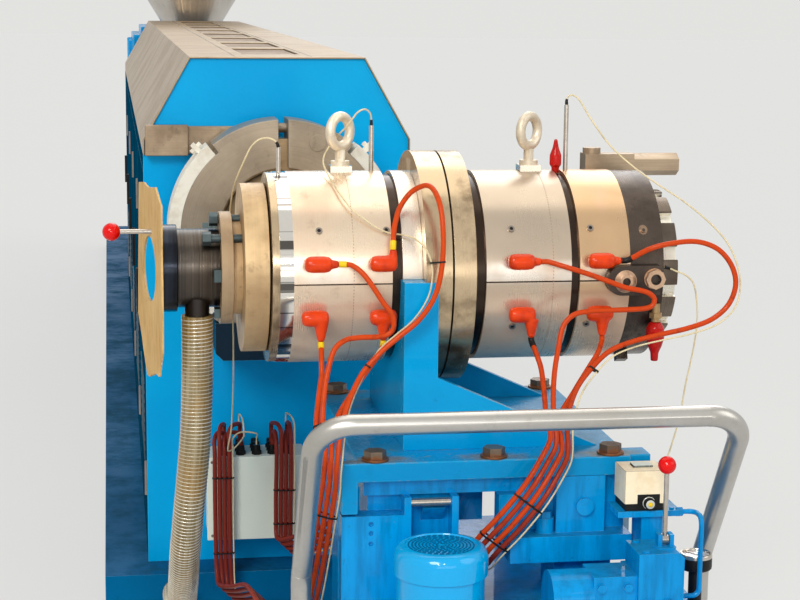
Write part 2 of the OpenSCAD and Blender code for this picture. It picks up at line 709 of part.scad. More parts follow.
// Heater bands
bands = [[band_a_x, band_a_l], [band_b_x, band_b_l], [band_c_x, band_c_l]];
module band_half(b, up) difference() {
    union() {
        tube_x(b[0], b[1], band_r, core_r + fit);
        for (x = up ? upper_boots : [for (p = lower_boots) p[0]]) if (x > b[0] && x < b[0] + b[1])
            boot_stud(x, up ? boot_rise : -boot_fall);
    }
    translate([b[0] - eps, -band_r - 40, up ? seam_z - 600 + seam_gap / 2 : seam_z - seam_gap / 2])
        cube([b[1] + 2 * eps, 2 * band_r + 80, 600]);
    bar_y(0, 300, inlet_r + 3);
    bar_y(0, 300, side_inlet_r + 3, side_inlet_x);
    for (x = eye_xs) block(x - 25, -25, head_z + core_r - 12, 50, 50, 40);
    probe_holes();
    for (q = band_screws) screw_at(q, core_r, 20, screw_r * 0.6 + fit);
}
module probe_holes() for (q = probe_set)
    translate([q[0], 0, head_z + core_r - 10]) cylinder(h = 40, r = probe_r + fit);
// Steel stud between a band and the boot on it, at height dz above the axis
stud_r = 10;
function band_face_y(dz, r) = -sqrt(r * r - dz * dz);
module boot_stud(x, dz) {
    start = band_face_y(abs(dz) - stud_r, core_r + fit) - eps;
    translate([x, start, head_z + dz]) rotate([90, 0, 0]) cylinder(h = start - boot_back_y(dz), r = stud_r);
}
// A cylinder that stands out of the head at q, from radius r
module screw_at(q, r, h, radius) translate([q[0], 0, head_z]) rotate([90 - q[1], 0, 0])
    translate([0, 0, r]) cylinder(h = h, r = radius, $fn = 32);
module band_screw_heads() color("#6f6a62") for (q = band_screws) difference() {
    union() {
        screw_at(q, core_r, band_t + 2 * fit, screw_r * 0.6);
        screw_at(q, band_r + fit, 4, screw_r);
    }
    translate([q[0], 0, head_z]) rotate([90 - q[1], 0, 0]) translate([0, 0, band_r + 2]) hex_bolt(screw_r, 10);
}
module upper_bands() color("#d8c4ae") for (b = bands) band_half(b, true);
module lower_bands() color("#c9b39c") for (b = bands) band_half(b, false);
module chrome_strap() color("#d9dbe0") difference() {
    tube_x(strap_x, strap_l, band_r, core_r + fit);
    bar_y(0, 300, inlet_r + 3);
    probe_holes();
}
module saddle_cap() color("#d9d3c8") difference() {
    tube_x(cap_x, cap_l, band_r, core_r + fit);
    translate([cap_x - eps, -300, head_z - 600]) cube([cap_l + 2 * eps, 600, 600]);
}
module eye_bolts() color("#b8ab97") for (x = eye_xs)
    translate([x, 0, head_z + band_r + 12]) union() {
        cylinder(h = 10, r = 20);
        cylinder(h = 34, r = 11);
        translate([0, 0, 30 + eye_d / 2]) rotate([90, 0, 43]) rotate_extrude($fn = 48)
            translate([eye_d / 2 - 10.5, 0]) circle(r = 10.5, $fn = 24);
    }
// Plug boots: an oval body along X, and a neck to the right or down
function boot_back_y(dz) = band_face_y(dz, band_r) - boot_stand;
function boot_y(dz) = boot_back_y(dz) - fit - boot_r;
module boot_body() rotate([0, 90, 0]) translate([0, 0, -boot_l / 2]) rotate_extrude($fn = 32)
    polygon([[0, 0], [boot_r * 0.6, boot_l * 0.03], [boot_r * 0.88, boot_l * 0.1], [boot_r, boot_l * 0.27],
        [boot_r, boot_l * 0.73], [boot_r * 0.88, boot_l * 0.9], [boot_r * 0.6, boot_l * 0.97], [0, boot_l]]);
module plug_boots() color("#f0501e") {
    for (x = upper_boots) translate([x, boot_y(boot_rise), head_z + boot_rise]) union() {
        boot_body();
        if (x == upper_boots[1]) translate([boot_l / 2 - 10, 0, boot_r - 8])
            cylinder(h = neck_l_up + 8, r1 = 10, r2 = boot_neck_r, $fn = 32);
        else translate([boot_l / 2 - 4, 0, 0]) rotate([0, 90, 0])
            cylinder(h = neck_l_up + 4, r1 = 10, r2 = boot_neck_r, $fn = 32);
    }
    for (p = lower_boots) translate([p[0], boot_y(-boot_fall), head_z - boot_fall]) union() {
        boot_body();
        translate([p[1], 0, -boot_r + 8]) rotate([180, 0, 0])
            cylinder(h = neck_l_down + 8, r1 = 16, r2 = boot_neck_r, $fn = 32);
    }
    // Capped spare on the bare stripe at the top
    translate([(band_b_x + band_b_l + band_c_x) / 2, 0, head_z + core_r + fit]) rotate_extrude($fn = 32)
        polygon([[0, 0], [8.5, 0], [8.5, 14], [13, 18], [13, 40], [7, 56], [4, 74], [0, 76]]);
    // Boot under the brass nipple of the end housing
    translate([nipple_x, nipple_y, nipple_z - fit]) rotate([180, 0, 0]) rotate_extrude($fn = 32)
        polygon([[0, 0], [12, 0], [19, 12], [20, 34], [15, 52], [9, 66], [8, 84], [0, 84]]);
}
module probes() color("#b9a880") for (q = probe_set)
    translate([q[0], 0, head_z + core_r]) cylinder(h = q[1] - head_z - core_r, r = probe_r, $fn = 32);
// Brass nipple under the end housing, and the bracket with its hexagon rod at the top
nipple_x = 719;
nipple_y = -191;
nipple_z = head_z - 100;
module end_fittings() color("#a8895c") difference() {
    union() {
        translate([nipple_x, nipple_y, nipple_z]) cylinder(h = 40, r = 9, $fn = 32);
        translate([nipple_x, nipple_y, nipple_z + 8]) hex_bolt(24, 12);
        block(housing_x + 5, 95, head_z + 130, housing_l - 10, 50, 100);
        block(housing_x - 25, 95, head_z + 185, housing_l + 40, 50, 45);
        translate([housing_x + housing_l + 10, 120, head_z + 205]) rotate([0, 90, 0]) hex_bolt(44, 110);
        translate([housing_x - 5, 120, head_z + 229]) cylinder(h = 14, r = 20);
    }
    bar_x(housing_x - 40, housing_l + 80, housing_r + fit);
    translate([housing_x + housing_l + 90, 120, head_z + 205]) rotate([0, 90, 0]) cylinder(h = 40, r = 14);
}
module inlet_flange() color("#8a7f70") difference() {
    bar_y(inlet_y, 45, side_flange_r, side_inlet_x);
    bar_y(inlet_y - eps, 45 + 2 * eps, melt_r, side_inlet_x);
    for (k = [0:3]) translate([side_inlet_x, inlet_y - eps, head_z]) rotate([0, 45 + 90 * k, 0])
        translate([side_pcd / 2, 0, 0]) rotate([-90, 0, 0]) cylinder(h = 45 + 2 * eps, r = 9);
}

// Carriage
module carriage_base() color("#0f7fb8") union() {
    w = plate_w;
    for (y = [-w / 2, w / 2 - carriage_beam_w]) block(carriage_x, y, 0, carriage_l, carriage_beam_w, carriage_h);
    for (x = [carriage_x, carriage_x + carriage_l - carriage_beam_w])
        block(x, -w / 2, 0, carriage_beam_w, w, carriage_h);
}
module lift_frame() color("#0c8ccc") {
    back = column_y;
    difference() {
        union() {
            for (x = column_xs, s = [-1, 1])
                block(x, s > 0 ? back - column_w : -back, carriage_h, column_w, column_w, slide_z - carriage_h);
            block(plate_x + 15, -back - 15, slide_z, plate_l - 30, 2 * back + 30, slide_t);
            block(column_xs[0], -back, shelf_z - shelf_t, column_xs[1] - column_xs[0] + column_w, 2 * back, shelf_t);
            block(shelf_x, -shelf_reach, shelf_z - shelf_t, shelf_l, shelf_reach - back + 20, shelf_t);
            // Left front plate, and the lugs with the pin between them
            block(32, front_y, carriage_h, 140, 46, 540 - carriage_h);
            for (x = [160, 258]) block(x, front_y, 470, 14, 46, slide_z - 470 + eps);
            translate([162, front_y + 18, slide_z - 14]) rotate([0, 90, 0]) cylinder(h = 108, r = 8.5);
            block(160, -back - eps, 400, 112, 12, slide_z - 400 + eps);
            translate([200, -back, slide_z - 60]) rotate([90, 0, 90]) linear_extrude(46)
                polygon([[0, 0], [-34, 34], [0, 34]]);
            // Bracket in the window
            translate([262, -160, 480]) rotate([90, 0, 0]) linear_extrude(30)
                polygon([[0, 0], [90, 0], [90, 62], [36, 62], [16, 52], [4, 34], [0, 14]]);
            block(262, -back - eps, 470, 12, back - 130, 20);
            // Post, recess and the housing with its round boss
            block(355, front_y, 480, 40, 46, slide_z - 480 + eps);
            block(390, front_y + 32, 480, 90, 14, slide_z - 480 + eps);
            block(475, front_y, 485, 102, 46, plate_top_z - plate_t - 485);
            translate([533, front_y + eps, 547]) rotate([90, 0, 0]) cylinder(h = 12, r = 18);
            block(577 - eps, front_y + 30, 480, 50, 16, slide_z - 480 + eps);
            // Beam, and the fitting that stands on it
            block(374, front_y - 28, 438, 254, 74, 54);
            translate([454, front_y + 12, 491]) cylinder(h = 32, r = 19);
            translate([454, front_y + 12, 522]) hex_bolt(28, 14);
        }
        // Screw holes in the left plate
        for (z = [545 - 63, 504, 523]) translate([92, front_y - eps, z]) rotate([-90, 0, 0]) cylinder(h = 8, r = 5, $fn = 24);
    }
}
module top_plate() color("#0f95d6") union() {
    block(plate_x, front_y, plate_top_z - plate_t, plate_l, plate_w, plate_t);
    block(plate_x - 34, front_y, plate_top_z - 106, 34, 30, 106);
    block(plate_x + plate_l - eps, front_y + 10, plate_top_z - 32, 46, 60, 32);
}
module gusset(y) translate([post_x + post_l, y + gusset_t, plate_top_z]) rotate([90, 0, 0])
    linear_extrude(gusset_t) polygon([[-eps, 0], [gusset_l, 0], [-eps, gusset_h]]);
module saddle_post() color("#14a0e6") difference() {
    union() {
        block(post_x, -post_w / 2, plate_top_z, post_l, post_w, head_z - plate_top_z);
        gusset(-post_w / 2);
        gusset(post_w / 2 - gusset_t);
    }
    bar_x(post_x - eps, flange_a_x - post_x + 2 * eps, core_r + fit);
    bar_x(flange_a_x - fit, flange_a_l + flange_b_l + 2 * groove_l, centre_flange_r + fit);
}
module plate_bolts() color("#8a5a3c") for (k = [0:2], s = [-1, 1])
    translate([plate_bolt_x + k * plate_bolt_pitch, s * plate_bolt_span / 2, plate_top_z]) union() {
        cylinder(h = 5, r = plate_bolt_af * 0.68);
        translate([0, 0, 4]) hex_bolt(plate_bolt_af, 17);
    }

// Guard rail
module guard_rail() color("#b9bcbd") {
    path = [[rail_left_x, -rail_foot_y, carriage_h + 10], [rail_left_x, -rail_foot_y, rail_knee_z],
        [rail_left_x, -rail_y, rail_z], [rail_right_x, -rail_y, rail_z],
        [rail_right_x, -rail_foot_y, rail_knee_z], [rail_right_x, -rail_foot_y, carriage_h + 10]];
    union() {
        pipe_run(path, rail_d / 2, rail_bend);
        for (x = [rail_left_x, rail_right_x]) translate([x, -rail_foot_y, carriage_h])
            cylinder(h = 12, r = min(34, plate_w / 2 - rail_foot_y - 1));
    }
}

// Hydraulic unit
module hydraulic_block() color("#0f8fd2") difference() {
    y = -valve_y;
    top = shelf_z + block_h;
    union() {
        block(block_x, y - block_w / 2, shelf_z, block_l, block_w, block_h);
        // Neck and ears that hold the lever's pin
        translate([lever_x, y, top - eps]) cylinder(h = 4, r = 26);
        for (s = [-1, 1]) block(s > 0 ? lever_x + ear_gap / 2 : lever_x - ear_gap / 2 - ear_t, y - 12,
            top, ear_t, 24, lever_pivot_z + knuckle_r + 3 - top);
        translate([lever_x - ear_gap / 2 - eps, y, lever_pivot_z]) rotate([0, 90, 0])
            cylinder(h = ear_gap + 2 * eps, r = pin_r, $fn = 32);
        // Column and plate under the solenoid
        block(coil_x + 36, coil_y + 4, shelf_z, 44, 70, coil_z - shelf_z - 6);
        block(coil_x - 16, coil_y - 6, coil_z - 12, 130, 82, 12);
        block(block_x, y + block_w / 2 - eps, shelf_z, block_l, 34, 110);
        // Gear pump with its flange
        translate([425, y + 12, shelf_z + 62]) rotate([0, 90, 0]) cylinder(h = 82, r = 56);
        block(440, y - 30, shelf_z, 50, 84, 30);
        block(505, y - 38, shelf_z, block_x - 505 + eps, 92, 116);
        for (z = [22, 94]) translate([520, y - 37, shelf_z + z]) rotate([90, 0, 0]) hex_bolt(16, 9);
        for (z = [22, 94]) translate([574, y - 37, shelf_z + z]) rotate([90, 0, 0]) hex_bolt(16, 9);
        for (dx = [20, 62]) translate([block_x + dx, y - block_w / 2 + eps, shelf_z + 60]) rotate([90, 0, 0])
            hex_bolt(22, 10);
    }
    // Sloped shoulder on the valve block
    translate([block_x + block_l, y - block_w / 2 - eps, top]) rotate([0, 45, 0])
        block(-7, 0, -7, 14, block_w + 40, 14);
}
module valve_lever() color("#c8c4bc") translate([lever_x, -valve_y, lever_pivot_z]) difference() {
    union() {
        translate([-7, 0, 0]) rotate([0, 90, 0]) cylinder(h = 14, r = knuckle_r, $fn = 32);
        translate([0, 0, knuckle_r / 2]) cylinder(h = lever_l - knuckle_r, r = 5, $fn = 24);
        translate([0, 0, lever_l]) sphere(r = lever_ball_r, $fn = 32);
    }
    translate([-8, 0, 0]) rotate([0, 90, 0]) cylinder(h = 16, r = pin_r + 0.25, $fn = 32);
}
module pump_motor() color("#1298dc") translate([217, -pump_y, shelf_z]) union() {
    cylinder(h = pump_h - 40, r = pump_r - 6);
    translate([0, 0, pump_h - 60]) cylinder(h = 60, r = pump_r);
    cylinder(h = 12, r = pump_r);
}
// Solenoid: dark socket below, cream housing above, round gland at the front
module valve_coil() color("#e9dfc4") translate([coil_x, coil_y, coil_z]) union() {
    block(0, 0, 0, 80, 76, 15);
    block(-2, -2, 14, 84, 79, 69);
    translate([48, eps, 16]) rotate([90, 0, 0]) cylinder(h = 15, r = 12);
    block(22, 24, 82, 40, 28, 5);
}
gauge_x = 752;
gauge_y = -418;
gauge_stem_r = 14;
gauge_pipe_z = shelf_z + 46;
module pressure_gauge() color("#2a2a2a") translate([gauge_x, gauge_y, shelf_z]) union() {
    cylinder(h = 90, r = gauge_stem_r, $fn = 32);
    translate([0, 0, 86]) cylinder(h = 34, r = gauge_r);
}
// Tube from the solenoid's plate down to the valve block
module gauge_pipe() color("#1c86c4") {
    y = -valve_y + block_w / 2 - 14;
    x = block_x + block_l + 60;
    pipe_run([[coil_x + 114, coil_y + 4, coil_z - 6], [x, coil_y + 4, coil_z - 6], [x, y, coil_z - 6],
        [x, y, gauge_pipe_z], [block_x + block_l, y, gauge_pipe_z]], 5, 15);
}
// Terminal box on the right column, with a gland on top
side_box_x = column_xs[1] + column_w;
side_box_top = 500;
module side_box() color("#a9b0ae") union() {
    block(side_box_x, -column_y + 20, side_box_top - 80, 44, 80, 80);
    translate([side_box_x + 24, -column_y + 60, side_box_top - eps]) hex_bolt(18, 9);
    translate([side_box_x + 24, -column_y + 60, side_box_top]) cylinder(h = 18, r = 7, $fn = 32);
}

// Pieces at the outlet
rod_l = 98;
rod_r = 5;
rod_y = -22;
rod_z = head_z + 82;
board_turn = 9;
board_t = 4;
module outlet_rod() color("#b3261e") translate([outlet_x - rod_l, rod_y, rod_z])
    rotate([0, 90, 0]) union() {
        cylinder(h = rod_l, r = rod_r, $fn = 24);
        sphere(r = 19, $fn = 32);
    }
// Fibre board that leans on the outlet ring, hung on the rod
module shield_board() color("#b59a6a") difference() {
    translate([outlet_x - fit, -ring_r, head_z]) rotate([0, 0, board_turn])
        translate([-board_t, 0, 0]) rotate([90, 0, 90]) linear_extrude(board_t)
            polygon([[-40, -170], [-42, 150], [20, 190], [215, 172], [245, -120], [140, -240], [0, -230]]);
    bar_x(outlet_x - 60, 60 + eps, pipe_bore_r + 8);
    translate([outlet_x - 60, rod_y, rod_z]) rotate([0, 90, 0]) cylinder(h = 60, r = rod_r + 2 * fit);
}
hose_x = -240;
hose_y = -35;
module hose_fittings() color("#8f8a80") difference() {
    translate([hose_x, hose_y, head_z - sleeve_r - 12]) cylinder(h = 62, r = 26);
    bar_x(hose_x - 50, 100, sleeve_r + fit);
}

// Cords: points chosen by hand. Each lead keeps its own place in its bundle.
lead_r = 5.5;
wire_r = 1.8;
lead_step = 12;
lead_slots = [1, 3, 0, 2];
// End of a boot's neck, where its lead comes out: upper boots to the right or up, lower ones down
function side_exit(x) = [x + boot_l / 2 + neck_l_up, boot_y(boot_rise), head_z + boot_rise];
function top_exit(x) = [x + boot_l / 2 - 10, boot_y(boot_rise), head_z + boot_rise + boot_r + neck_l_up];
function low_exit(q) = [q[0] + q[1], boot_y(-boot_fall), head_z - boot_fall - boot_r - neck_l_down];
left_exits = [[side_exit(upper_boots[0]), [1, 0, 0]], [top_exit(upper_boots[1]), [0, 0, 1]],
    [low_exit(lower_boots[0]), [0, 0, -1]], [low_exit(lower_boots[1]), [0, 0, -1]]];
right_exits = [[side_exit(upper_boots[2]), [1, 0, 0]], [side_exit(upper_boots[3]), [1, 0, 0]],
    [low_exit(lower_boots[2]), [0, 0, -1]], [low_exit(lower_boots[3]), [0, 0, -1]]];
left_heads = [
    [[50, -226, 1037], [64, -232, 1036], [84, -246, 1022], [104, -254, 996], [126, -258, 962],
     [144, -259, 938], [148, -259, 921], [145, -259, 905], [133, -259, 895], [112, -260, 892], [78, -262, 892], [48, -266, 888],
     [26, -272, 872], [13, -282, 840], [1, -304, 790], [-6, -335, 730]],
    [[150, -225, 1074], [152, -216, 1092], [158, -200, 1118], [172, -180, 1150],
     [198, -172, 1180], [226, -208, 1194], [240, -252, 1164], [244, -278, 1100], [240, -284, 1030],
     [226, -284, 975], [196, -282, 930], [155, -280, 895], [118, -284, 865], [76, -296, 820], [36, -340, 745]],
    [[4, -217, 866], [2, -240, 845], [1, -255, 815], [-7, -280, 780], [-17, -322, 730]],
    [[132, -217, 866], [118, -240, 848], [96, -255, 824], [66, -280, 790], [20, -322, 728]]];
left_bundle = [[-18, -375, 690], [-18, -355, 640], [-24, -320, 560], [-30, -280, 480], [-40, -235, 380],
    [-50, -170, 290], [-64, -80, 225], [-80, 60, 190], [-95, 220, 180], [-112, 350, 175], [-140, 450, 140],
    [-164, 510, 124], [-168, 538, 126], [-169, 556, 142], [-170, 565, 170], [-171, 566, 220], [-172, 566, 330],
    [-172, 566, 420]];
right_heads = [
    [[474, -226, 1037], [508, -244, 1028], [548, -252, 1016], [590, -256, 1001], [634, -258, 985],
     [664, -258, 979], [684, -258, 972], [695, -258, 960], [691, -258, 947], [675, -258, 941], [640, -257, 939], [598, -256, 938], [560, -256, 937],
     [524, -257, 930], [502, -260, 908], [490, -272, 868], [474, -304, 812], [464, -345, 750]],
    [[644, -227, 1038], [684, -248, 1064], [730, -258, 1077], [782, -262, 1080], [826, -264, 1064],
     [856, -266, 1030], [866, -268, 990], [852, -268, 948], [818, -268, 918], [768, -268, 900], [712, -268, 888],
     [650, -268, 874], [600, -272, 856], [560, -286, 826], [520, -312, 786], [492, -352, 732]],
    [[446, -217, 866], [450, -244, 846], [456, -262, 820], [456, -292, 780], [452, -338, 730]],
    [[596, -217, 866], [580, -246, 846], [556, -264, 818], [520, -292, 776], [478, -338, 728]]];
right_bundle = [[452, -376, 700], [432, -388, 664], [398, -396, 612], [352, -392, 552], [312, -372, 500],
    [296, -335, 462], [288, -285, 444], [276, -220, 434], [262, -140, 426], [250, -40, 420], [245, 60, 418],
    [240, 160, 414], [236, 250, 408], [230, 306, 400], [200, 370, 372], [140, 430, 322], [70, 480, 268],
    [10, 516, 238], [-12, 537, 228], [-19, 553, 230], [-20, 563, 244], [-20, 566, 266], [-20, 566, 330],
    [-18, 566, 420]];
// Probe wires: over the outlet flange, through the left eye, round the end, and out of the nipple
wire_heads = [
    [[-64, 0, 1256], [-66, 0, 1264], [-74, 0, 1272], [-88, 0, 1276], [-106, 0, 1272], [-122, 4, 1256],
     [-136, 12, 1226], [-150, 34, 1188], [-158, 80, 1142], [-160, 124, 1080], [-158, 144, 1000], [-154, 156, 920],
     [-150, 176, 820], [-148, 216, 700], [-148, 290, 580], [-150, 380, 500]],
    [[135, 0, 1302], [135, 0, 1314], [131, -9, 1329], [118, -22, 1338], [102, -28, 1332], [89, -22, 1314],
     [78, -11, 1298], [68, 0, 1286], [56, 13, 1270], [45, 17, 1253], [35, 6, 1238], [30, -22, 1223],
     [34, -60, 1206], [43, -100, 1186], [55, -136, 1166],
     [74, -162, 1141], [98, -176, 1122], [122, -186, 1106], [146, -192, 1096], [172, -194, 1092],
     [194, -204, 1087], [205, -230, 1080], [213, -254, 1070], [221, -270, 1048], [224, -273, 1020], [216, -272, 975],
     [188, -271, 930], [150, -270, 897], [116, -274, 868], [84, -283, 820], [48, -318, 746]],
    [[562, 0, 1346], [562, 0, 1357], [566, -1, 1365], [575, -3, 1367], [587, -9, 1358], [606, -30, 1322], [640, -80, 1264],
     [684, -120, 1220], [730, -145, 1186], [782, -160, 1152], [830, -180, 1112], [862, -206, 1074],
     [876, -236, 1034], [878, -262, 990], [864, -277, 944], [828, -279, 910], [772, -279, 890], [712, -279, 878],
     [650, -279, 864], [602, -284, 846], [564, -299, 816], [527, -324, 776], [503, -358, 722]],
    [[731, -203, 1019], [742, -205, 1016], [756, -206, 1010], [776, -206, 1002], [794, -206, 985], [803, -206, 948],
     [806, -206, 908], [803, -206, 864], [794, -206, 810], [786, -206, 770], [778, -208, 720], [764, -212, 660],
     [740, -222, 600], [700, -240, 562], [664, -242, 550], [640, -242, 544], [630, -242, 532],
     [629, -242, side_box_top + 18]]];
// Last stretch of a lead: over the arch in front of the box and down into its gland
function arch(start, g, row) = let (gx = gland_x(g), gy = gland_ys[row], rise = 18 * row)
    [[start[0], 568, 452 + rise], [start[0], 580, 478 + rise],
     [(2 * start[0] + gx) / 3, 604, 490 + rise], [gx, gy - 10, 482 + rise], [gx, gy, 468 + rise], [gx, gy, gland_top_z]];
function route(head, bundle, step, g, row) = let (
    o = [step, 0, -step], moved = [for (p = bundle) p + o])
    concat(head, moved, arch(moved[len(moved) - 1], g, row));
function lead(exit, head, bundle, slot, first) =
    route(concat([exit[0], exit[0] + lead_r * exit[1]], head), bundle, lead_step * slot, first + floor(slot / 2), slot % 2);
module left_leads() color("#e0521e") for (k = [0:3])
    sweep(lead(left_exits[k], left_heads[k], left_bundle, lead_slots[k], 0), lead_r);
module right_leads() color("#e0521e") for (k = [0:3])
    sweep(lead(right_exits[k], right_heads[k], right_bundle, lead_slots[k], gland_n - 2), lead_r);
module probe_wires() color("#d9cf9a") {
    sweep(concat(wire_heads[0], arch([-100, 0, 0], 1, 2)), wire_r);
    sweep(route(wire_heads[1], left_bundle, 3 * lead_step + 9, 2, 0), wire_r);
    sweep(route(wire_heads[2], right_bundle, 3 * lead_step + 9, gland_n - 1, 2), wire_r);
    sweep(wire_heads[3], wire_r);
}
module air_hose() color("#d8d2a8") sweep([[hose_x, hose_y, head_z - sleeve_r - 12 - fit], [hose_x, hose_y, 820],
    [hose_x - 2, -36, 730], [hose_x - 6, -38, 640], [hose_x - 14, -36, 550], [hose_x - 22, -20, 460],
    [hose_x - 28, 20, 370], [hose_x - 30, 90, 280], [hose_x - 30, 190, 200], [hose_x - 30, 310, 140],
    [hose_x - 30, 430, 96], [hose_x - 30, 530, 80], [hose_x - 30, base_y - 40, 78],
    [hose_x - 30, base_y - fit, 78]], 34, 12);

base_frame();
cabinet_walls();
front_panel();
hood_shell();
clamp_bar();
barrel();
clamp_ring_left();
clamp_ring_right();
ring_heaters();
ring_bolts();
drip_tray();
adapter_neck();
feed_throat();
hopper();
gearbox();
drive_motor();
coupling_guard();
junction_box();
box_glands();
outlet_ring();
outlet_sleeve();
centring_plate();
outlet_bolts();
outlet_flange();
die_body();
rear_body();
end_housing();
lock_nut();
upper_bands();
lower_bands();
chrome_strap();
saddle_cap();
eye_bolts();
plug_boots();
probes();
band_screw_heads();  // band_screws
end_fittings();
inlet_flange();
carriage_base();
lift_frame();
top_plate();
saddle_post();
plate_bolts();
guard_rail();
hydraulic_block();
pump_motor();
valve_coil();
valve_lever();
pressure_gauge();
gauge_pipe();
side_box();
outlet_rod();
shield_board();
hose_fittings();
left_leads();
right_leads();
probe_wires();
air_hose();
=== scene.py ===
"""Looks of a pipe coating extruder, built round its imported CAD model.

The CAD model gives every size. This script gives each piece its finish: machined and painted
pieces get rounded edges, boots and knobs are reshaped, and leads, wires and the air hose become
smooth cords. Everything is in metres, in the frame of the CAD model.
"""
import json
import logging
import math
from dataclasses import dataclass, field
from enum import Enum
from typing import Callable, ClassVar, Iterable, Sequence

import bmesh
import bpy
from mathutils import Matrix, Vector, noise

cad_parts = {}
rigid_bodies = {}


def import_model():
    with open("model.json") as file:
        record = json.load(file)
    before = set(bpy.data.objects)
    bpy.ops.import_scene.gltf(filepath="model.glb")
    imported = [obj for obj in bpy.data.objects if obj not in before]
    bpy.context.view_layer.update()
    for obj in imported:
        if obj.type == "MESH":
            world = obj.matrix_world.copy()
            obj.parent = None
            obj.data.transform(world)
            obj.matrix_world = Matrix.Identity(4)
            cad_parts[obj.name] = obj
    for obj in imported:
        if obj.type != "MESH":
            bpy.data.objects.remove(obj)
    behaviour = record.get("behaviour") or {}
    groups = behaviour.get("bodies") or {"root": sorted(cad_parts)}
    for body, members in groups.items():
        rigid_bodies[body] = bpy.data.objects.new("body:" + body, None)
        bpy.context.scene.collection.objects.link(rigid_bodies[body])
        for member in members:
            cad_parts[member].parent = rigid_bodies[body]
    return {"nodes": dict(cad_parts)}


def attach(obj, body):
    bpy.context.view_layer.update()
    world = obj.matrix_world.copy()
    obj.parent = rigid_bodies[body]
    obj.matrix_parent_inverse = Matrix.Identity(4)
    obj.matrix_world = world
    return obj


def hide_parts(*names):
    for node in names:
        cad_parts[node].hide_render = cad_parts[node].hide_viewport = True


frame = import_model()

LOG = logging.getLogger("extruder")
MM = 0.001
HEAD_Z = 1.0
HEAD_MM = HEAD_Z / MM
SOFT_EDGE, SHARP_EDGE, FLAT_JOIN = 32.0, 38.0, 0.6
SENSOR_MM, PICTURE_PX = 36.0, 800
TIE_WIDTH, TIE_PLAY, TIE_WALL, TIE_POINTS = 3.6, 0.15, 1.5, 40
EDGE = "edge"
RAYS = ("Camera", "Glossy", "Transmission")
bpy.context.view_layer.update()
Point = tuple[float, float, float]
Colour = tuple[float, float, float]
Test = Callable[[Vector], bool]


def linear(colour: Colour) -> tuple[float, float, float, float]:
    """Turns a display colour into the linear colour that a shader takes.

    Args:
        colour: red, green and blue as they show on a screen, 0 to 1.

    Returns:
        The linear colour with an alpha of 1.
    """
    parts = [c / 12.92 if c <= 0.04045 else ((c + 0.055) / 1.055) ** 2.4 for c in colour]
    return (parts[0], parts[1], parts[2], 1.0)


def toned(colour: Colour, factor: float, lift: float = 0.0) -> Colour:
    """A colour times a factor, plus a lift, held to 1."""
    return tuple(min(1.0, lift + factor * c) for c in colour)


# ---------------------------------------------------------------- shader expressions
def maths(operation: str, reflected: bool = False) -> Callable[..., "Expr"]:
    """Makes a method of Expr that adds one Math node.

    Args:
        operation: the node's operation.
        reflected: whether the other value comes first.

    Returns:
        The method.
    """
    def method(self: "Expr", *others: "Expr | float") -> "Expr":
        """The node's value."""
        values = (*others, self) if reflected else (self, *others)
        return self.shader.node("ShaderNodeMath", {"operation": operation}, dict(enumerate(values)))
    return method


class Expr:
    """One socket of a shader, with the operators that shader maths is written in."""

    def __init__(self, shader: "Shader", socket: bpy.types.NodeSocket) -> None:
        """Keeps the shader and the socket."""
        self.shader = shader
        self.socket = socket

    __add__, __radd__ = maths("ADD"), maths("ADD", True)
    __sub__, __rsub__ = maths("SUBTRACT"), maths("SUBTRACT", True)
    __mul__, __rmul__ = maths("MULTIPLY"), maths("MULTIPLY", True)
    __truediv__ = maths("DIVIDE")
    sine, root, size, fraction = maths("SINE"), maths("SQRT"), maths("ABSOLUTE"), maths("FRACT")
    most, angle = maths("MAXIMUM"), maths("ARCTAN2")

    def hypot(self, other: "Expr") -> "Expr":
        """Length of self and other at right angles."""
        return (self * self + other * other).root()

    def step(self, low: float, high: float) -> "Expr":
        """A smooth step.

        Args:
            low: where it is 0.
            high: where it is 1; it may be below low.

        Returns:
            The step's value, 0 to 1.
        """
        return self.shader.node("ShaderNodeMapRange", {"interpolation_type": "SMOOTHSTEP"},
                                {"Value": self, "From Min": low, "From Max": high})


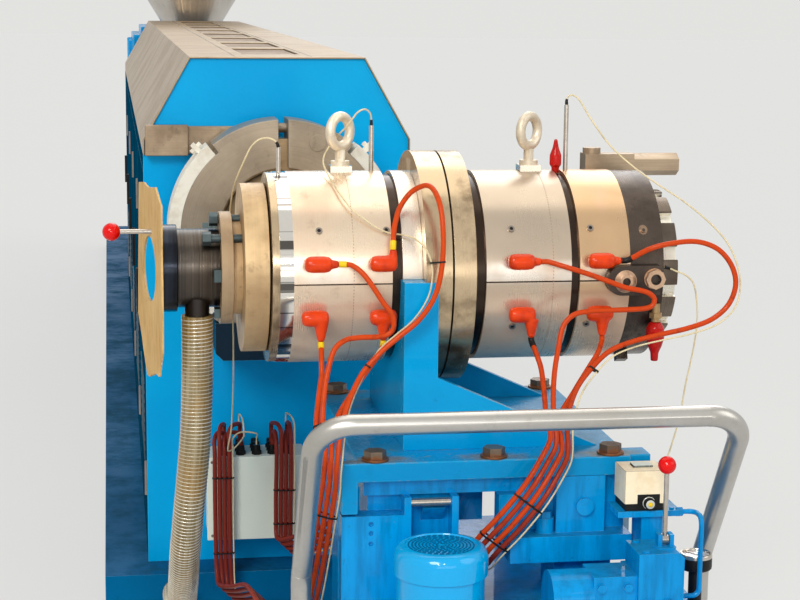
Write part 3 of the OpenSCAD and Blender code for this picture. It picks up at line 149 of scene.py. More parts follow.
class Shader:
    """The node tree of one material, and the few nodes that the finishes share."""

    def __init__(self, material: bpy.types.Material) -> None:
        """Empties the material's tree and adds its surface shader."""
        material.use_nodes = True
        self.tree = material.node_tree
        self.tree.nodes.clear()
        self.surface = self.tree.nodes.new("ShaderNodeBsdfPrincipled")
        self.out = self.tree.nodes.new("ShaderNodeOutputMaterial")
        self.tree.links.new(self.surface.outputs[0], self.out.inputs[0])

    def put(self, socket: bpy.types.NodeSocket, value: "Expr | float | Sequence[float]") -> None:
        """Links an expression to a socket, or sets the socket's own value.

        Args:
            socket: the socket.
            value: an expression, a number or a colour.
        """
        if isinstance(value, Expr):
            self.tree.links.new(value.socket, socket)
        else:
            socket.default_value = value

    def node(self, kind: str, settings: dict[str, object] | None = None,
             inputs: dict[str | int, object] | None = None, output: int | str = 0) -> Expr:
        """Adds any node.

        Args:
            kind: the node's type.
            settings: its properties, which are set first.
            inputs: values or expressions by the socket's name or number.
            output: which output is wanted.

        Returns:
            That output.
        """
        node = self.tree.nodes.new(kind)
        for key, value in (settings or {}).items():
            if key == "stops":
                ramp = node.color_ramp
                while len(ramp.elements) < len(value):
                    ramp.elements.new(0.5)
                for element, (place, colour) in zip(ramp.elements, value):
                    element.position = place
                    element.color = linear(colour)
            else:
                setattr(node, key, value)
        for key, value in (inputs or {}).items():
            self.put(node.inputs[key], value)
        return Expr(self, node.outputs[output])

    def place(self) -> Expr:
        """Object coordinates, which are metres in the CAD frame."""
        return self.node("ShaderNodeTexCoord", output="Object")

    def along_cord(self) -> Expr:
        """The piece's own UV map: metres along a cord, and the turn round it."""
        return self.node("ShaderNodeTexCoord", output="UV")

    def normal(self) -> tuple[Expr, Expr, Expr]:
        """The three parts of the surface's normal."""
        return self.split(self.node("ShaderNodeNewGeometry", output="Normal"))

    def split(self, vector: Expr) -> tuple[Expr, Expr, Expr]:
        """The three parts of a vector.

        Args:
            vector: the vector.

        Returns:
            Its X, Y and Z.
        """
        node = self.tree.nodes.new("ShaderNodeSeparateXYZ")
        self.tree.links.new(vector.socket, node.inputs[0])
        return tuple(Expr(self, out) for out in node.outputs)

    def join(self, x: "Expr | float", y: "Expr | float", z: "Expr | float") -> Expr:
        """A vector of three parts."""
        return self.node("ShaderNodeCombineXYZ", None, {0: x, 1: y, 2: z})

    def noise(self, at: Expr, scale: float, detail: float = 3.0, rough: float = 0.55) -> Expr:
        """Noise of about 0.2 to 0.8 at a place.

        Args:
            at: the place.
            scale: grains per metre.
            detail: octaves.
            rough: weight of the finer octaves.

        Returns:
            The noise.
        """
        return self.node("ShaderNodeTexNoise", None,
                         {"Vector": at, "Scale": scale, "Detail": detail, "Roughness": rough})

    def mix(self, factor: "Expr | float", low: "Expr | Colour", high: "Expr | Colour") -> Expr:
        """Mixes two colours.

        Args:
            factor: 0 for low, 1 for high.
            low: the first colour.
            high: the second colour.

        Returns:
            The mixed colour.
        """
        values = [v if isinstance(v, Expr) else linear(v) for v in (low, high)]
        return self.node("ShaderNodeMix", {"data_type": "RGBA"},
                         {0: factor, 6: values[0], 7: values[1]}, output=2)

    def ramp(self, value: Expr, *stops: tuple[float, Colour]) -> Expr:
        """A colour ramp along a value."""
        return self.node("ShaderNodeValToRGB", {"stops": stops}, {0: value})

    def bump(self, height: Expr, depth: float, under: Expr | None = None) -> Expr:
        """A bump.

        Args:
            height: the relief, about 0 to 1.
            depth: what 1 stands for, in metres.
            under: another bump below it.

        Returns:
            The normal.
        """
        inputs: dict[str | int, object] = {"Height": height, "Distance": depth, "Strength": 1.0}
        if under is not None:
            inputs["Normal"] = under
        return self.node("ShaderNodeBump", None, inputs)

    def set(self, **values: object) -> None:
        """Sets inputs of the surface shader; underscores stand for blanks."""
        for key, value in values.items():
            self.put(self.surface.inputs[key.replace("_", " ")], value)


# ---------------------------------------------------------------- finishes
class Lay(Enum):
    """Which way the tool marks or the grain of a metal run."""

    TURNED_X = "round the die head"
    TURNED_Y = "round the screw"
    ALONG_X = "along X"
    ALONG_Y = "along Y"
    UPRIGHT = "along Z"
    PLAIN = "no direction"


@dataclass(frozen=True)
class Finish:
    """A finish: its name, and the paint method that each kind gives."""

    name: str
    made: ClassVar[dict[str, bpy.types.Material]] = {}

    def material(self) -> bpy.types.Material:
        """Makes the material, once.

        Returns:
            The finish's material.
        """
        if self.name not in Finish.made:
            material = bpy.data.materials.new(self.name)
            self.paint(Shader(material))
            Finish.made[self.name] = material
        return Finish.made[self.name]

    def paint(self, s: Shader) -> None:
        """Builds the material's nodes.

        Args:
            s: the shader of the material.
        """
        raise NotImplementedError


@dataclass(frozen=True)
class Enamel(Finish):
    """Sprayed or brushed machine enamel, glossy, with runs, dust, rubbed places and a painted highlight along its
    edges.
    """

    colour: Colour = (0.0, 0.58, 0.86)
    shade: Colour = (0.0, 0.45, 0.72)
    gloss: float = 0.22
    dirt: float = 0.25
    dust: Colour = (0.26, 0.46, 0.52)
    chipped: float = 0.4
    bare: Colour = (0.50, 0.60, 0.62)
    coat: float = 0.06
    edge_highlight: float = 0.3
    shine: float = 0.07
    runs: float = 0.0

    def paint(self, s: Shader) -> None:
        """Two blues in soft clouds, a dusty film on upper faces, chipped edges with a painted highlight, and orange
        peel.

        Args:
            s: the shader of the material.
        """
        at = s.place()
        clouds = s.noise(at, 2.3, 4.0).step(0.36, 0.66)
        stains = s.noise(at, 17.0, 5.0, 0.65).step(0.56, 0.74)
        specks = s.noise(at, 95.0, 3.0, 0.7).step(0.66, 0.73)
        up = s.normal()[2].step(0.55, 0.95)
        film = up * (s.noise(at, 6.0, 5.0, 0.7).step(0.38, 0.72) * 0.75 + 0.1)
        body = s.mix(clouds * 0.55, self.colour, self.shade)
        if self.runs:
            x, y, z = s.split(at)
            runs = s.noise(s.join(x * 42.0, y * 42.0, z * 5.0), 1.0, 4.0, 0.65).step(0.42, 0.66)
            body = s.mix(runs * self.runs, body, toned(self.shade, 0.80))
        body = s.mix(stains * (0.5 * self.dirt), body, toned(self.shade, 0.62))
        body = s.mix(specks * (0.8 * self.dirt), body, (0.14, 0.13, 0.12))
        body = s.mix(film * (1.6 * self.dirt), body, self.dust)
        rough = self.gloss + 0.10 * clouds + film * (0.9 * self.dirt) + stains * 0.06
        body = self.marks(s, at, body)
        edge = s.node("ShaderNodeAttribute", {"attribute_name": EDGE}, output="Fac")
        # Painted highlight: a lighter colour on the rounded edges.
        body = s.mix(edge * self.edge_highlight, body, toned(self.colour, 0.85, 0.22))
        chips = edge * s.noise(at, 70.0, 4.0, 0.7).step(0.50, 0.62)
        body = s.mix(chips * self.chipped, body, self.bare)
        peel = s.bump(s.noise(at, 210.0, 2.0), 0.00022)
        s.set(Base_Color=body, Roughness=rough, Normal=s.bump(s.noise(at, 26.0, 2.0), 0.0011, peel),
              Coat_Weight=self.coat, Coat_Roughness=0.05, IOR=1.5, Specular_IOR_Level=self.shine)

    def marks(self, s: Shader, at: Expr, body: Expr) -> Expr:
        """Marks of one piece on top of its paint; none here."""
        return body


@dataclass(frozen=True)
class PlateEnamel(Enamel):
    """Enamel of the top plate, with oily dirt worn in round its bolts and along its front edge."""

    first_bolt: float = 0.1025
    pitch: float = 0.245
    row: float = 0.32

    def marks(self, s: Shader, at: Expr, body: Expr) -> Expr:
        """Brown-grey smears round each bolt, and grey patches on its upper faces."""
        x, y, _ = s.split(at)
        cloud = s.noise(at, 24.0, 5.0, 0.7)
        dx = (((x - self.first_bolt) / self.pitch + 0.5).fraction() - 0.5).size() * self.pitch
        dy = y.size() - self.row
        near = (dx * dx * 0.4 + dy * dy * 2.0).root() + (cloud - 0.5) * 0.11
        up = s.normal()[2].step(0.5, 0.9)
        smear = near.step(0.062, 0.02) * up
        grit = s.mix(s.noise(at, 90.0, 4.0), (0.30, 0.27, 0.22), (0.62, 0.60, 0.54))
        body = s.mix(smear * 0.8, body, grit)
        return s.mix(cloud.step(0.56, 0.64) * up * 0.45, body, (0.42, 0.50, 0.50))


@dataclass(frozen=True)
class Steel(Finish):
    """Bare metal: grain or turning marks, heat stains, spots and a little rust."""

    colour: Colour = (0.72, 0.68, 0.62)
    stain: Colour = (0.45, 0.36, 0.26)
    rough: float = 0.34
    lay: Lay = Lay.PLAIN
    stained: float = 0.35
    metal: float = 0.9
    grain: float = 1.0
    pits: float = 0.0

    def grain_at(self, s: Shader, at: Expr) -> Expr:
        """Coordinates that change fast across the tool marks and slowly along them.

        Args:
            s: the shader.
            at: object coordinates.

        Returns:
            The stretched coordinates.
        """
        x, y, z = s.split(at)
        if self.lay in (Lay.TURNED_X, Lay.TURNED_Y):
            main, side = (x, y) if self.lay is Lay.TURNED_X else (y, x)
            radius = side.hypot(z - HEAD_Z)
            facing = s.normal()[0 if self.lay is Lay.TURNED_X else 1].size().step(0.55, 0.75)
            return s.join(main * 340.0, radius * facing * 340.0, side * 2.5 + z * 1.5)
        fast = {Lay.ALONG_X: (6.0, 420.0, 420.0), Lay.ALONG_Y: (420.0, 5.0, 420.0),
                Lay.UPRIGHT: (420.0, 420.0, 6.0), Lay.PLAIN: (90.0, 90.0, 90.0)}[self.lay]
        return s.join(x * fast[0], y * fast[1], z * fast[2])

    def tone(self, s: Shader, at: Expr, body: Expr) -> Expr:
        """Tones that depend on the place on the piece; none here."""
        return body

    def paint(self, s: Shader) -> None:
        """Tool marks in colour, roughness and relief, under soft stains.

        Args:
            s: the shader of the material.
        """
        at = s.place()
        marks = s.noise(self.grain_at(s, at), 1.0, 3.0)
        clouds = s.noise(at, 5.5, 5.0, 0.6).step(0.38, 0.68)
        blots = s.noise(at, 31.0, 4.0, 0.7).step(0.55, 0.75)
        body = s.mix(clouds * self.stained, self.colour, self.stain)
        body = s.mix(blots * (0.6 * self.stained), body, toned(self.stain, 0.55))
        body = s.mix(marks.step(0.35, 0.7) * (0.22 * self.grain), body, toned(self.colour, 0.7))
        body = self.tone(s, at, body)
        rough = self.rough + clouds * (0.16 * self.stained) + (marks - 0.5) * (0.16 * self.grain)
        relief = s.bump(marks, 0.00006 * self.grain)
        if self.pits:
            relief = s.bump(s.noise(at, 160.0, 4.0, 0.75), 0.0009 * self.pits, relief)
        s.set(Base_Color=body, Roughness=rough.most(0.05), Normal=relief,
              Metallic=self.metal_at(at) - clouds * (0.35 * self.stained))

    def metal_at(self, at: Expr) -> "Expr | float":
        """How metallic the piece is at a place."""
        return self.metal


@dataclass(frozen=True)
class FlangedSteel(Steel):
    """A die body: its flanges are tan with burnt rims, and the bare stripes between bands are dark."""

    flange: Colour = (0.78, 0.69, 0.56)
    burnt: Colour = (0.42, 0.34, 0.25)
    pad: Colour = (0.97, 0.93, 0.86)
    core_radius: float = 0.2
    shoulder_x: float = -0.0755

    def tone(self, s: Shader, at: Expr, body: Expr) -> Expr:
        """Tan outside the core radius and at the shoulder, with burnt blots, darker towards the bottom, and bright
        pads on top.
        """
        x, y, z = s.split(at)
        radius = y.hypot(z - HEAD_Z)
        flange = radius.step(self.core_radius, self.core_radius + 0.001)
        flange = flange.most(x.step(self.shoulder_x + 0.0005, self.shoulder_x) * radius.step(0.135, 0.14))
        blots = s.noise(at, 13.0, 5.0, 0.62)
        # Darker towards the bottom of the flanges.
        low = z.step(HEAD_Z - 0.02, HEAD_Z - 0.22)
        tan = s.mix(blots.step(0.45, 0.7) * 0.75 + low * 0.25, self.flange, self.burnt)
        pads = y.size().step(0.0235, 0.0232) * radius.step(0.233, 0.231) * z.step(1.19, 1.194)
        return s.mix(flange, body, s.mix(pads * 0.85, tan, self.pad))


@dataclass(frozen=True)
class BandSheet(Steel):
    """Heater band sheet: paler at the outlet, tanner at the far end, with pinkish heat clouds."""

    middle: Colour = (0.74, 0.68, 0.61)
    far: Colour = (0.82, 0.68, 0.52)
    pink: Colour = (0.86, 0.70, 0.60)
    seam_z: float = 0.992

    def tone(self, s: Shader, at: Expr, body: Expr) -> Expr:
        """Heat clouds that stretch round the band, a painted dark reflection low down, and a painted highlight
        strip over the seam.
        """
        x, y, z = s.split(at)
        clouds = s.noise(s.join(x * 9.0, y * 3.0, z * 4.0), 1.0, 5.0, 0.6)
        upper = z.step(0.94, 1.0) * 0.6 + 0.4
        body = s.mix(x.step(0.26, 0.34) * upper * 0.9, body, self.middle)
        body = s.mix(x.step(0.536, 0.544) * upper * 0.9 + 0.1 * clouds, body, self.far)
        body = s.mix(clouds.step(0.5, 0.72) * 0.5, body, self.pink)
        # Painted dark reflection in patches on the lower part of the band.
        painted_dark_reflection = s.noise(at, 7.0, 4.0).step(0.5, 0.7) * z.step(0.95, 0.83)
        body = s.mix(painted_dark_reflection * 0.5, body, (0.50, 0.44, 0.40))
        # Painted highlight: a bright broken strip just above the seam.
        painted_seam_highlight = (z - self.seam_z - 0.020).size().step(0.030, 0.008)
        painted_seam_highlight = painted_seam_highlight * s.noise(at, 9.0, 3.0).step(0.35, 0.6)
        return s.mix(painted_seam_highlight * 0.7, body, (0.98, 0.95, 0.91))

    def metal_at(self, at: Expr) -> Expr:
        """Less metallic below the seam, where a film of smoke dulls the sheet."""
        return self.metal - at.shader.split(at)[2].step(self.seam_z, self.seam_z - 0.06) * 0.34


@dataclass(frozen=True)
class PaintedReflectionChrome(Steel):
    """A chrome strap with painted dark reflections in patches round it."""

    def tone(self, s: Shader, at: Expr, body: Expr) -> Expr:
        """Painted dark reflections in patches that end sharply along the strap, broken by bright slots."""
        _, y, z = s.split(at)
        # The dark patches are painted reflections.
        film = s.noise(s.join((z - HEAD_Z).angle(y) * 3.1, 0.0, 0.0), 1.0, 4.0, 0.75)
        return s.mix(film.step(0.53, 0.57) * 0.88, body, self.stain)


@dataclass(frozen=True)
class LugSteel(Steel):
    """The end housing's burnt steel, worn bare round the screws of its lug.

    A ring is the X and Z of its middle, and its inner and outer radius, in metres.
    """

    worn: Colour = (0.80, 0.66, 0.54)
    face_y: float = -0.2315
    washer: Sequence[float] = (0.640, 0.994, 0.008, 0.023)
    nut: Sequence[float] = (0.701, 0.999, 0.011, 0.021)
    screw: Sequence[float] = (0.689, 1.0953, 0.003, 0.009)

    def tone(self, s: Shader, at: Expr, body: Expr) -> Expr:
        """Worn rings at the washer, the nut and the small screw, and darker towards the bottom."""
        x, y, z = s.split(at)

        def ring(mid_x: float, mid_z: float, inner: float, outer: float) -> Expr:
            """1 between two radii round a place on the front."""
            radius = (x - mid_x).hypot(z - mid_z)
            return radius.step(outer + 0.001, outer) * radius.step(inner, inner + 0.001)

        worn = ring(*self.washer).most(ring(*self.nut)) * y.step(self.face_y + 0.001, self.face_y)
        worn = worn.most(ring(*self.screw) * y.step(-0.1, -0.12) * 0.5)
        # Darker towards the bottom, in patches.
        darker_low = z.step(0.97, 0.82) * s.noise(at, 30.0, 5.0, 0.7).step(0.42, 0.6)
        body = s.mix(darker_low * 0.8, body, (0.10, 0.09, 0.085))
        return s.mix(worn * (s.noise(at, 55.0, 4.0).step(0.2, 0.45) * 0.4 + 0.5), body, self.worn)


@dataclass(frozen=True)
class SlottedSteel(Steel):
    """The lock nut: dull outside, with bright flanks in its slots, worn bare and with a painted highlight."""

    rim: float = 0.1575
    bright: Colour = (0.96, 0.94, 0.88)

    def tone(self, s: Shader, at: Expr, body: Expr) -> Expr:
        """Painted highlight on worn flanks: bright below the outer radius, in broken patches."""
        _, y, z = s.split(at)
        radius = y.hypot(z - HEAD_Z)
        # Worn slot flanks with a painted highlight.
        worn = radius.step(self.rim, self.rim - 0.002) * s.noise(at, 20.0, 3.0).step(0.36, 0.46)
        return s.mix(worn * 0.9, body, self.bright)


@dataclass(frozen=True)
class Weathered(Steel):
    """Bolts whose washers are rusty and whose heads are worn to bare metal."""

    rust: Colour = (0.46, 0.28, 0.16)
    washer_top: float = 0.660

    def tone(self, s: Shader, at: Expr, body: Expr) -> Expr:
        """Rust below the washer's top and in blots above it."""
        height = s.split(at)[2] + (s.noise(at, 60.0, 4.0, 0.7) - 0.5) * 0.03
        rusty = height.step(self.washer_top + 0.004, self.washer_top - 0.004)
        return s.mix(rusty * 0.85, body, self.rust)


@dataclass(frozen=True)
class HeatTinted(Steel):
    """Turned steel whose colour runs through tempering tints along X."""

    start: float = 0.0
    end: float = 0.1
    tints: tuple[tuple[float, Colour], ...] = ((0.0, (0.1, 0.12, 0.2)), (1.0, (0.3, 0.25, 0.2)))

    def paint(self, s: Shader) -> None:
        """Tints along the piece, broken up by noise, with turning marks.

        Args:
            s: the shader of the material.
        """
        at = s.place()
        x = s.split(at)[0]
        marks = s.noise(self.grain_at(s, at), 1.0, 3.0)
        clouds = s.noise(at, 14.0, 5.0, 0.65)
        along = (x - self.start) / (self.end - self.start) + (clouds - 0.5) * 0.5
        body = s.ramp(along, *self.tints)
        body = s.mix(marks.step(0.3, 0.7) * 0.35, body, (0.05, 0.05, 0.05))
        s.set(Base_Color=body, Roughness=self.rough + (marks - 0.5) * 0.25, Metallic=self.metal,
              Normal=s.bump(marks, 0.00012 * self.grain))


@dataclass(frozen=True)
class Moulding(Finish):
    """Plastic, rubber or silicone, with a fine moulded skin and grime in patches."""

    colour: Colour = (0.9, 0.3, 0.1)
    grime: Colour = (0.3, 0.15, 0.1)
    rough: float = 0.4
    grimy: float = 0.25
    skin: float = 0.0003
    coat: float = 0.0
    shine: float = 0.25

    def paint(self, s: Shader) -> None:
        """Grime clouds over the colour, and a pebbled skin.

        Args:
            s: the shader of the material.
        """
        at = s.place()
        clouds = s.noise(at, 28.0, 4.0, 0.6).step(0.42, 0.72)
        body = s.mix(clouds * self.grimy, self.colour, self.grime)
        skin = s.noise(at, 520.0, 2.0)
        s.set(Base_Color=body, Roughness=self.rough + clouds * 0.15, Coat_Weight=self.coat,
              Specular_IOR_Level=self.shine, Coat_Roughness=0.06, Normal=s.bump(skin, self.skin))


@dataclass(frozen=True)
class LeadSkin(Finish):
    """Silicone lead: its colour fades along its length to a red-brown of painted shade and dust, with rubbed rings.
    """

    bright_orange: Colour = (0.88, 0.33, 0.14)
    shade_and_dust: Colour = (0.50, 0.20, 0.17)
    from_m: float = 0.9
    to_m: float = 1.5

    def paint(self, s: Shader) -> None:
        """The piece's UV map gives the metres along the lead.

        Args:
            s: the shader of the material.
        """
        u, turn, _ = s.split(s.along_cord())
        at = s.place()
        dirt = s.noise(at, 60.0, 4.0, 0.65)
        # Painted shade and dust: the lead turns red-brown along its length.
        shade_and_dust_fade = (u + (dirt - 0.5) * 0.3).step(self.from_m, self.to_m)
        body = s.mix(shade_and_dust_fade, self.bright_orange, self.shade_and_dust)
        body = s.mix(dirt.step(0.52, 0.75) * 0.4, body, (0.33, 0.12, 0.08))
        ribs = s.noise(s.join(u * 900.0, turn * 3.0, 0.0), 1.0, 1.0)
        s.set(Base_Color=body, Roughness=0.36 + dirt * 0.2, Coat_Weight=0.14, Coat_Roughness=0.12,
              Specular_IOR_Level=0.08, Normal=s.bump(ribs, 0.00012))


@dataclass(frozen=True)
class Braid(Finish):
    """Glass braid on a thin wire: strands that cross, cream over tan."""

    light: Colour = (0.97, 0.91, 0.74)
    dark: Colour = (0.60, 0.52, 0.36)

    def paint(self, s: Shader) -> None:
        """Crossing strands from the UV map.

        Args:
            s: the shader of the material.
        """
        u, turn, _ = s.split(s.along_cord())
        along, round_it = u * 1900.0, turn * (3 * math.tau)
        strands = ((along + round_it).sine() * 0.5 + 0.5).most((along - round_it).sine() * 0.5 + 0.5)
        dirt = s.noise(s.place(), 40.0, 4.0).step(0.5, 0.75)
        body = s.mix(strands.step(0.2, 0.8), self.dark, self.light)
        s.set(Base_Color=s.mix(dirt * 0.4, body, (0.45, 0.38, 0.26)), Roughness=0.7,
              Normal=s.bump(strands, 0.0004))


@dataclass(frozen=True)
class HoseWall(Finish):
    """Clear hose wall, yellowed, milky where it is scratched."""

    colour: Colour = (0.44, 0.37, 0.22)
    pale: Colour = (0.62, 0.56, 0.42)
    gold: Colour = (0.62, 0.45, 0.14)

    def paint(self, s: Shader) -> None:
        """Yellowed wall with streaks along the hose and a glossy outer skin.

        Args:
            s: the shader of the material.
        """
        u, turn, _ = s.split(s.along_cord())
        at = s.place()
        streaks = s.noise(s.join(u * 3.0, turn * 22.0, 0.0), 1.0, 4.0)
        clouds = s.noise(at, 12.0, 4.0, 0.6).step(0.4, 0.7)
        body = s.mix(streaks.step(0.35, 0.7), self.colour, self.pale)
        body = s.mix(clouds * 0.6, body, self.gold)
        s.set(Base_Color=body, Roughness=0.2 + clouds * 0.15, Coat_Weight=0.6, Coat_Roughness=0.08,
              IOR=1.45, Normal=s.bump(s.noise(at, 120.0, 2.0), 0.0004))


@dataclass(frozen=True)
class Fibreboard(Finish):
    """Tan board of pressed fibres, in soft lighter clouds."""

    colour: Colour = (0.86, 0.70, 0.44)
    fibre: Colour = (0.60, 0.42, 0.22)

    def paint(self, s: Shader) -> None:
        """Long fibres upright, soft clouds and a crumbly relief.

        Args:
            s: the shader of the material.
        """
        at = s.place()
        x, y, z = s.split(at)
        fibres = s.noise(s.join(x * 160.0, y * 260.0, z * 14.0), 1.0, 5.0, 0.7)
        clouds = s.noise(at, 9.0, 4.0).step(0.35, 0.7)
        body = s.mix(fibres.step(0.4, 0.75) * 0.7, self.colour, self.fibre)
        body = s.mix(clouds * 0.4, body, (0.93, 0.80, 0.56))
        s.set(Base_Color=body, Roughness=0.85, Normal=s.bump(fibres, 0.0016))


@dataclass(frozen=True)
class DialFace(Finish):
    """White dial with a scale of ticks and two coloured arcs."""

    centre: Point = (0.752, -0.418, 0.46)
    radius: float = 0.026

    def paint(self, s: Shader) -> None:
        """Ticks from the angle round the dial's centre.

        Args:
            s: the shader of the material.
        """
        x, y, _ = s.split(s.place())
        dx, dy = x - self.centre[0], y - self.centre[1]
        radius = dx.hypot(dy) / self.radius
        angle = dy.angle(dx) / math.tau + 0.5
        fine = ((angle * 40.0).fraction() - 0.5).size().step(0.40, 0.46) * radius.step(0.72, 0.75)
        long = ((angle * 8.0).fraction() - 0.5).size().step(0.455, 0.47) * radius.step(0.58, 0.61)
        marks = fine.most(long) * radius.step(0.93, 0.90)
        body = s.mix(marks, (0.93, 0.93, 0.91), (0.06, 0.06, 0.06))
        arc = (radius - 0.83).size().step(0.035, 0.02) * angle.step(0.74, 0.75)
        s.set(Base_Color=s.mix(arc * 0.9, body, (0.75, 0.1, 0.08)), Roughness=0.3, Coat_Weight=1.0,
              Coat_Roughness=0.03, Normal=s.bump(s.noise(s.place(), 300.0), 0.00005))


@dataclass(frozen=True)
class Backdrop(Finish):
    """Pale studio floor: shown at its own tone to the camera and in reflections."""

    colour: Colour = (0.90, 0.90, 0.89)
    glow: float = 0.72

    def paint(self, s: Shader) -> None:
        """A mottled surface that glows only for the rays that show it as a background.

        Args:
            s: the shader of the material.
        """
        at = s.place()
        s.set(Base_Color=s.mix(s.noise(at, 1.5, 4.0), self.colour, toned(self.colour, 0.98)),
              Roughness=0.9)
        shown = [s.node("ShaderNodeLightPath", output=f"Is {ray} Ray") for ray in RAYS]
        glow = s.node("ShaderNodeEmission", None, {"Color": linear(self.colour), "Strength": 1.0})
        mixed = s.node("ShaderNodeMixShader", None,
                       {0: shown[0].most(shown[1]).most(shown[2]) * self.glow,
                        1: Expr(s, s.surface.outputs[0]), 2: glow})
        s.put(s.out.inputs[0], mixed)


